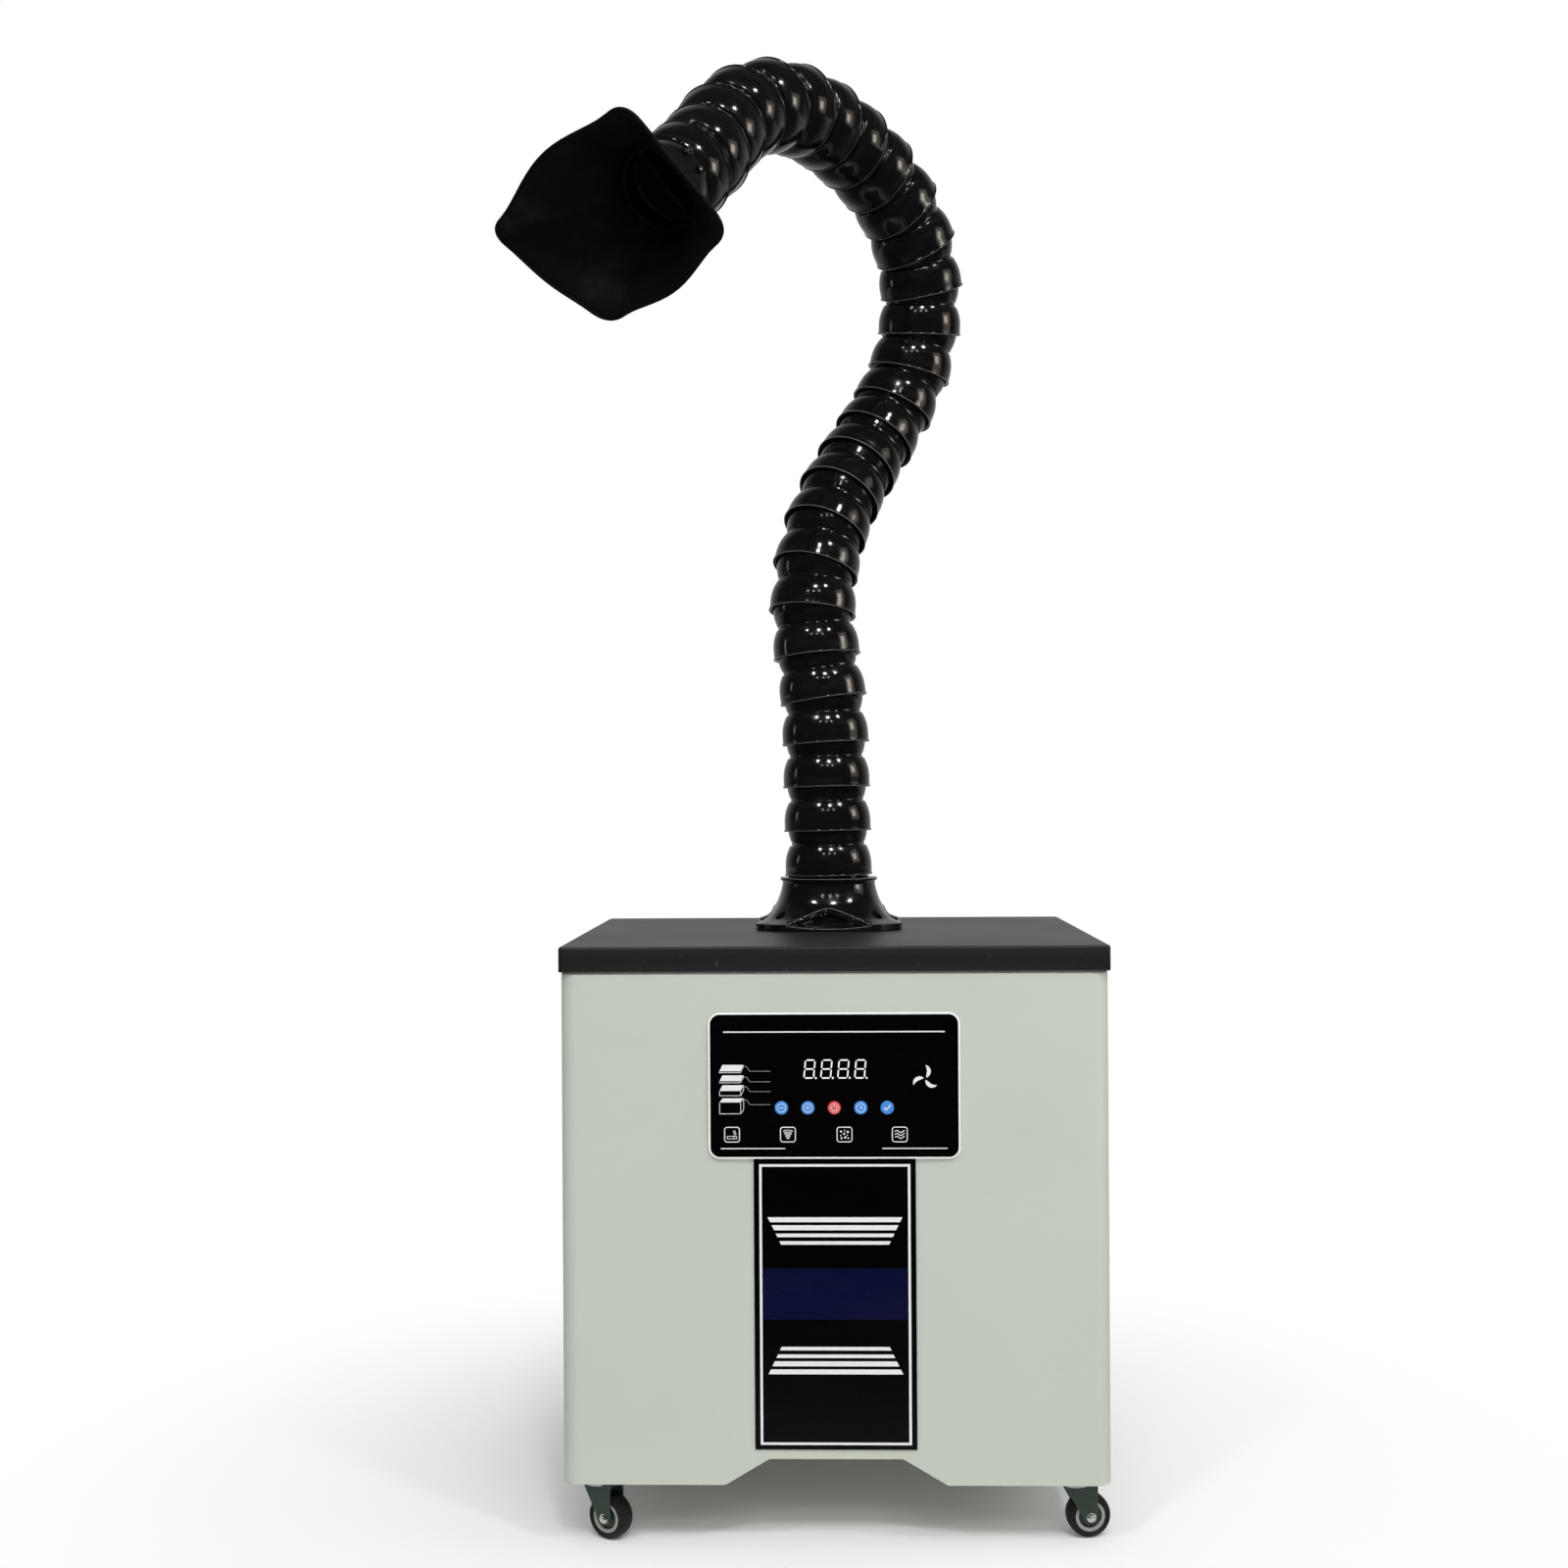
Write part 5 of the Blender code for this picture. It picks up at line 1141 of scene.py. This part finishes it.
flange_seat, screw_aside, screw_up = mm(529.3, 0.6, 3.1)
arm_place = middle @ Matrix.Translation((arm_x, arm_y, flange_seat))
fit("flange_moulding", flange, gloss_black, "lid", arm_place, stands_for=["arm_flange"])
flange_screw = screw_head("flange_screw", *mm(2.9, 2.6), "cross")
black_oxide = coated("black_oxide_steel", metal, {"Colour": (0.010, 0.010, 0.011),
                                                  "Roughness": 0.42}, 0.4)
for number, to_corner in enumerate(to_corners, 1):
    spot = to_corner @ Matrix.Translation((hole_reach, screw_aside, screw_up))
    fit(f"flange_screw_{number}", flange_screw, black_oxide, "lid", arm_place @ spot)

# Arm: twenty-six like bells. Each is a bowl-shaped skirt with a beaded rim round the ball of the
# bell below, a shoulder, a short waist with a fine ledge, and its own ball.
bell_sides = 60
bell_profile = [mm(radius, z) for radius, z in (
    (42.8, -4.8), (43.5, -5.0), (44.0, -4.8), (44.2, -4.3), (44.1, -3.8), (43.8, -3.4),
    (43.45, -3.1), (43.35, -1.5), (43.4, 2.0), (43.4, 5.5), (43.2, 9.0), (42.8, 12.0),
    (42.2, 15.0), (41.3, 18.0), (40.3, 20.6), (39.4, 22.6), (38.9, 23.6), (38.5, 24.2),
    (38.0, 24.6), (37.4, 24.75), (36.9, 24.9), (36.6, 25.3), (36.5, 26.0), (36.6, 28.6),
    (36.9, 29.1), (37.4, 29.3), (37.7, 29.8))]
bell_pitch, bell_twist = mm(44)[0], 2.4
bell_profile += [(ball_radius * math.cos(math.radians(angle)),
                  bell_pitch + ball_radius * math.sin(math.radians(angle)))
                 for angle in (-19, -14, -9, -4, 1, 6, 11, 16)]
skirt_inside = [mm(radius, z) for radius, z in (
    (34.5, 24.2), (35.6, 21.4), (37.9, 16.8), (39.8, 11.6), (41.0, 5.6), (41.35, 0.0),
    (41.1, -3.6), (41.9, -4.6))]
bell_profile += [mm(37.9, 55.5), mm(35.0, 55.5), mm(34.5, 55.0)] + skirt_inside
bell = turned("arm_bell", bell_profile, bell_sides, closed=True, crease=40)
bell.materials.append(gloss_black)
bell.materials.append(edge_highlight)
bead_top, bead_reach = mm(-4.2, 43.2)
# The rim's bead gets the lighter grey: a painted highlight line along it.
for face in bell.polygons:
    x, y, z = face.center
    on_bead = z < bead_top and math.hypot(x, y) > bead_reach
    face.material_index = 1 if on_bead else 0
bell_count = 26
centres = [Vector(joints[f"arm_joint_{number:02d}"]["pos_m"])
           for number in range(1, bell_count + 1)]
centres.append(Vector(joints["hood_turn"]["pos_m"]))
axes, upward = Matrix.Identity(3), Vector((0, 0, 1))
for number in range(bell_count):
    along = (centres[number + 1] - centres[number]).normalized()
    axes = upward.rotation_difference(along).to_matrix() @ axes
    upward = along
    stand = (Matrix.Translation(centres[number]) @ axes.to_4x4()
             @ Matrix.Rotation(bell_twist * number, 4, "Z"))
    fit(f"bell_moulding_{number + 1:02d}", bell, gloss_black, f"bell_{number + 1:02d}", stand,
        stands_for=[f"arm_link_{number + 1:02d}"])

# Collar: the arm's last moulding. Its skirt turns on the last ball, its sleeve holds the hood
# with two screws, and a stem at its side carries the damper's shaft.
collar_y = Vector(joints["damper_turn"]["axis"]).normalized()
collar_z = Vector(joints["hood_turn"]["axis"]).normalized()
collar_x = collar_y.cross(collar_z)
collar_place = (Matrix.Translation(centres[-1])
                @ Matrix((collar_x, collar_y, collar_z)).transposed().to_4x4())
shaft_lift = Matrix.Translation((0, 0, mm(36)[0]))
shaft_radius, bore_radius = mm(2.5, 2.8)
skirt_rows = 19
sleeve = bell_profile[:skirt_rows] + [mm(radius, z) for radius, z in (
    (38.3, 25.2), (38.3, 44.6), (38.0, 45.6), (37.4, 46.0), (35.0, 46.0), (34.6, 45.7))]
sleeve += skirt_inside
collar = turned("collar_moulding", sleeve, 96, closed=True, crease=40)
additions = bmesh.new()
boss_turn, boss_z, screw_reach = math.radians(13), *mm(32, 40.9)
for side in (-1, 1):
    boss = skinned(bmesh.new(), [[(x, y, z) for y, z in circle(radius, 28)] for radius, x in (
        mm(4.9, 37.4), mm(4.4, 38.9), mm(4.2, 40.4), mm(4.0, 41.2), mm(3.6, 41.5))])
    gathered(additions, boss, Matrix.Rotation(side * boss_turn, 4, "Z")
             @ Matrix.Translation((0, 0, boss_z)))
stem = skinned(bmesh.new(), [[(x, out, z) for x, z in circle(radius, 32)] for radius, out in (
    mm(6.6, 37.2), mm(6.1, 38.8), mm(5.8, 40.4), mm(5.8, 46.6), mm(5.4, 47.4))])
gathered(additions, stem, shaft_lift)
bore = skinned(bmesh.new(), [[(x, y, z) for x, z in circle(bore_radius, 20)]
                             for y in mm(-45, 52)])
bore.transform(shaft_lift)
collar = worked(collar, ("UNION", as_mesh("collar_bosses", additions)),
                ("DIFFERENCE", as_mesh("shaft_bore", bore)))
inner_black = coated("hood_black_plastic", moulded, {
    "Colour": (0.0035, 0.0036, 0.0036), "Roughness": 0.62, "Grain": 300.0, "Depth": 0.00002,
    "Wear": 0.04}, Specular_IOR_Level=0.12)
collar.materials.append(gloss_black)
collar.materials.append(inner_black)
end_low, end_reach, inside_reach = mm(44.8, 38.5, 34.8)
for face in collar.polygons:
    x, y, z = face.center
    reach = math.hypot(x, y)
    at_end = z > end_low and reach < end_reach
    face.material_index = 1 if at_end or reach < inside_reach else 0
fit("collar_moulding", collar, gloss_black, "hood", collar_place, stands_for=["hood_collar"])
collar_screw = screw_head("collar_screw", *mm(2.6, 0.7), "socket")
for side in (-1, 1):
    spot = (Matrix.Rotation(side * boss_turn, 4, "Z")
            @ Matrix.Translation((screw_reach, 0, boss_z))
            @ Matrix.Rotation(math.pi / 2, 4, "Y"))
    fit(f"collar_screw_{'lr'[side > 0]}", collar_screw, bright_metal, "hood",
        collar_place @ spot)

# Damper: a thin round blade on a cross shaft in the collar, turned by a ribbed grey knob that is
# pressed on the shaft's end outside the stem.
knob_plastic = coated("knob_plastic", moulded, {"Colour": (0.125, 0.122, 0.113),
                                                "Roughness": 0.46, "Wear": 0.25})
damper_centre = collar_place @ shaft_lift
blade = skinned(bmesh.new(), [[(x, y, z) for y, z in circle(radius, 64)] for radius, x in (
    mm(32.5, -1.0), mm(33.0, -0.6), mm(33.0, 0.6), mm(32.5, 1.0))])
spine = skinned(bmesh.new(), [[(x, y, z) for x, z in circle(shaft_radius, 24)]
                              for y in mm(-38.5, 54.0)])
blade = worked(as_mesh("damper_blade", blade), ("UNION", as_mesh("damper_shaft", spine)))
# The blade is near-black as painted shade: it sits deep inside the collar, where shade falls.
blade_painted_shade = coated("damper_blade_black", moulded, {"Colour": (0.006, 0.006, 0.006),
                                                     "Roughness": 0.75, "Wear": 0.05},
                     Specular_IOR_Level=0.15)
fit("damper_blade", blade, blade_painted_shade, "damper", damper_centre, stands_for=["damper_flap"])
knob_rows, knob_sides, knob_ribs, rib_depth = [], 90, 10, 0.07
ribs_start, ribs_end = mm(50.5, 66.2)
for radius, y in (mm(3.6, 47.8), mm(4.3, 48.2), mm(4.4, 49.6), mm(4.0, 50.4), mm(4.2, 51.2),
                  mm(4.3, 58.0), mm(4.5, 62.0), mm(4.6, 65.6), mm(4.5, 66.6), mm(4.0, 67.4)):
    ribbed = rib_depth if ribs_start < y < ribs_end else 0.0
    row = []
    for step in range(knob_sides):
        turn = math.tau * step / knob_sides
        reach = radius * (1 - ribbed * (0.5 - 0.5 * math.cos(knob_ribs * turn)) ** 0.6)
        row.append((reach * math.cos(turn), y, reach * math.sin(turn)))
    knob_rows.append(row)
knob_rows += [[(x, y, z) for x, z in circle(radius, knob_sides)] for radius, y in (
    mm(3.0, 67.2), mm(2.6, 66.2), mm(1.0, 66.2))]
fit("damper_knob_ribbed", as_mesh("damper_knob_ribbed", skinned(bmesh.new(), knob_rows)),
    knob_plastic, "damper", damper_centre, stands_for=["damper_knob"])

# Hood: thin moulded funnel, matt black inside and out, that opens from the collar's sleeve to a
# soft four-cornered mouth with a rolled lip.
mouth_long, mouth_wide, mouth_corner = mm(176, 124, 24)
corner_shares = ((-1.42, 1.11), (-0.92, -1.03), (1.02, -1.14), (0.95, 1.08))
bulges = mm(4.0, 9.5, 0.0, 13.2)
corners = [Vector((across * mouth_long / 2, along * mouth_wide / 2))
           for across, along in corner_shares]
mouth, corner_points, edge_points = [], 8, 15
for number, (corner, bulge) in enumerate(zip(corners, bulges)):
    before, after = corners[number - 1], corners[(number + 1) % 4]
    enter = corner + (before - corner).normalized() * mouth_corner
    leave = corner + (after - corner).normalized() * mouth_corner
    for step in range(corner_points + 1):
        share, rest = step / corner_points, 1 - step / corner_points
        mouth.append(rest * rest * enter + 2 * rest * share * corner + share * share * leave)
    goal = after + (corner - after).normalized() * mouth_corner
    outward = Vector((after.y - corner.y, corner.x - after.x)).normalized()
    for step in range(1, edge_points):
        share = step / edge_points
        lift = bulge * math.sin(math.pi * share) ** 1.5
        mouth.append(leave.lerp(goal, share) + lift * outward)
hood_start, hood_end, hood_neck, bead, wall = mm(46.3, 118.6, 40.4, 1.7, 2.2)
flare = ((0.0, 0.0), (0.06, 0.0), (0.22, 0.08), (0.45, 0.27), (0.72, 0.60), (1.0, 1.0))


def hood_ring(share, inset):
    """A ring of the funnel between neck and mouth, drawn in by a wall's thickness."""
    spread = max(0.0, through(flare, share))
    ring = []
    for point in mouth:
        at = (point.normalized() * hood_neck).lerp(point, spread)
        at -= at.normalized() * inset
        ring.append((at.x, at.y, hood_start + share * (hood_end - hood_start)))
    return ring


def lip_ring(angle):
    """A ring of the rolled lip; the angle runs from outward to forward, in degrees."""
    turn = math.radians(angle)
    ring = []
    for point in mouth:
        at = point - point.normalized() * bead * (1 - math.cos(turn))
        ring.append((at.x, at.y, hood_end - bead + bead * math.sin(turn)))
    return ring


def neck_ring(radius, z):
    """A ring of the hood's neck, with its points facing those of the mouth."""
    return [(*(point.normalized() * radius), z) for point in mouth]


rings = [neck_ring(*mm(radius, z)) for radius, z in ((38.9, 41.0), (39.9, 41.0), (40.4, 41.6))]
wall_rings, outside_end, inside_end = 18, 0.955, 0.93
rings += [hood_ring(step / wall_rings * outside_end, 0.0) for step in range(wall_rings + 1)]
rings += [lip_ring(angle) for angle in (-35, -5, 25, 55, 90, 125, 160, 195, 220)]
rings += [hood_ring(step / wall_rings * inside_end, wall) for step in range(wall_rings, 0, -1)]
rings += [neck_ring(*mm(radius, z))
          for radius, z in ((37.6, 47.2), (37.6, 46.5), (38.5, 46.3), (38.6, 45.8))]
fit("hood_funnel", as_mesh("hood_funnel", skinned(bmesh.new(), rings, closed=True), 60),
    inner_black, "hood", collar_place, stands_for=["fume_hood"])
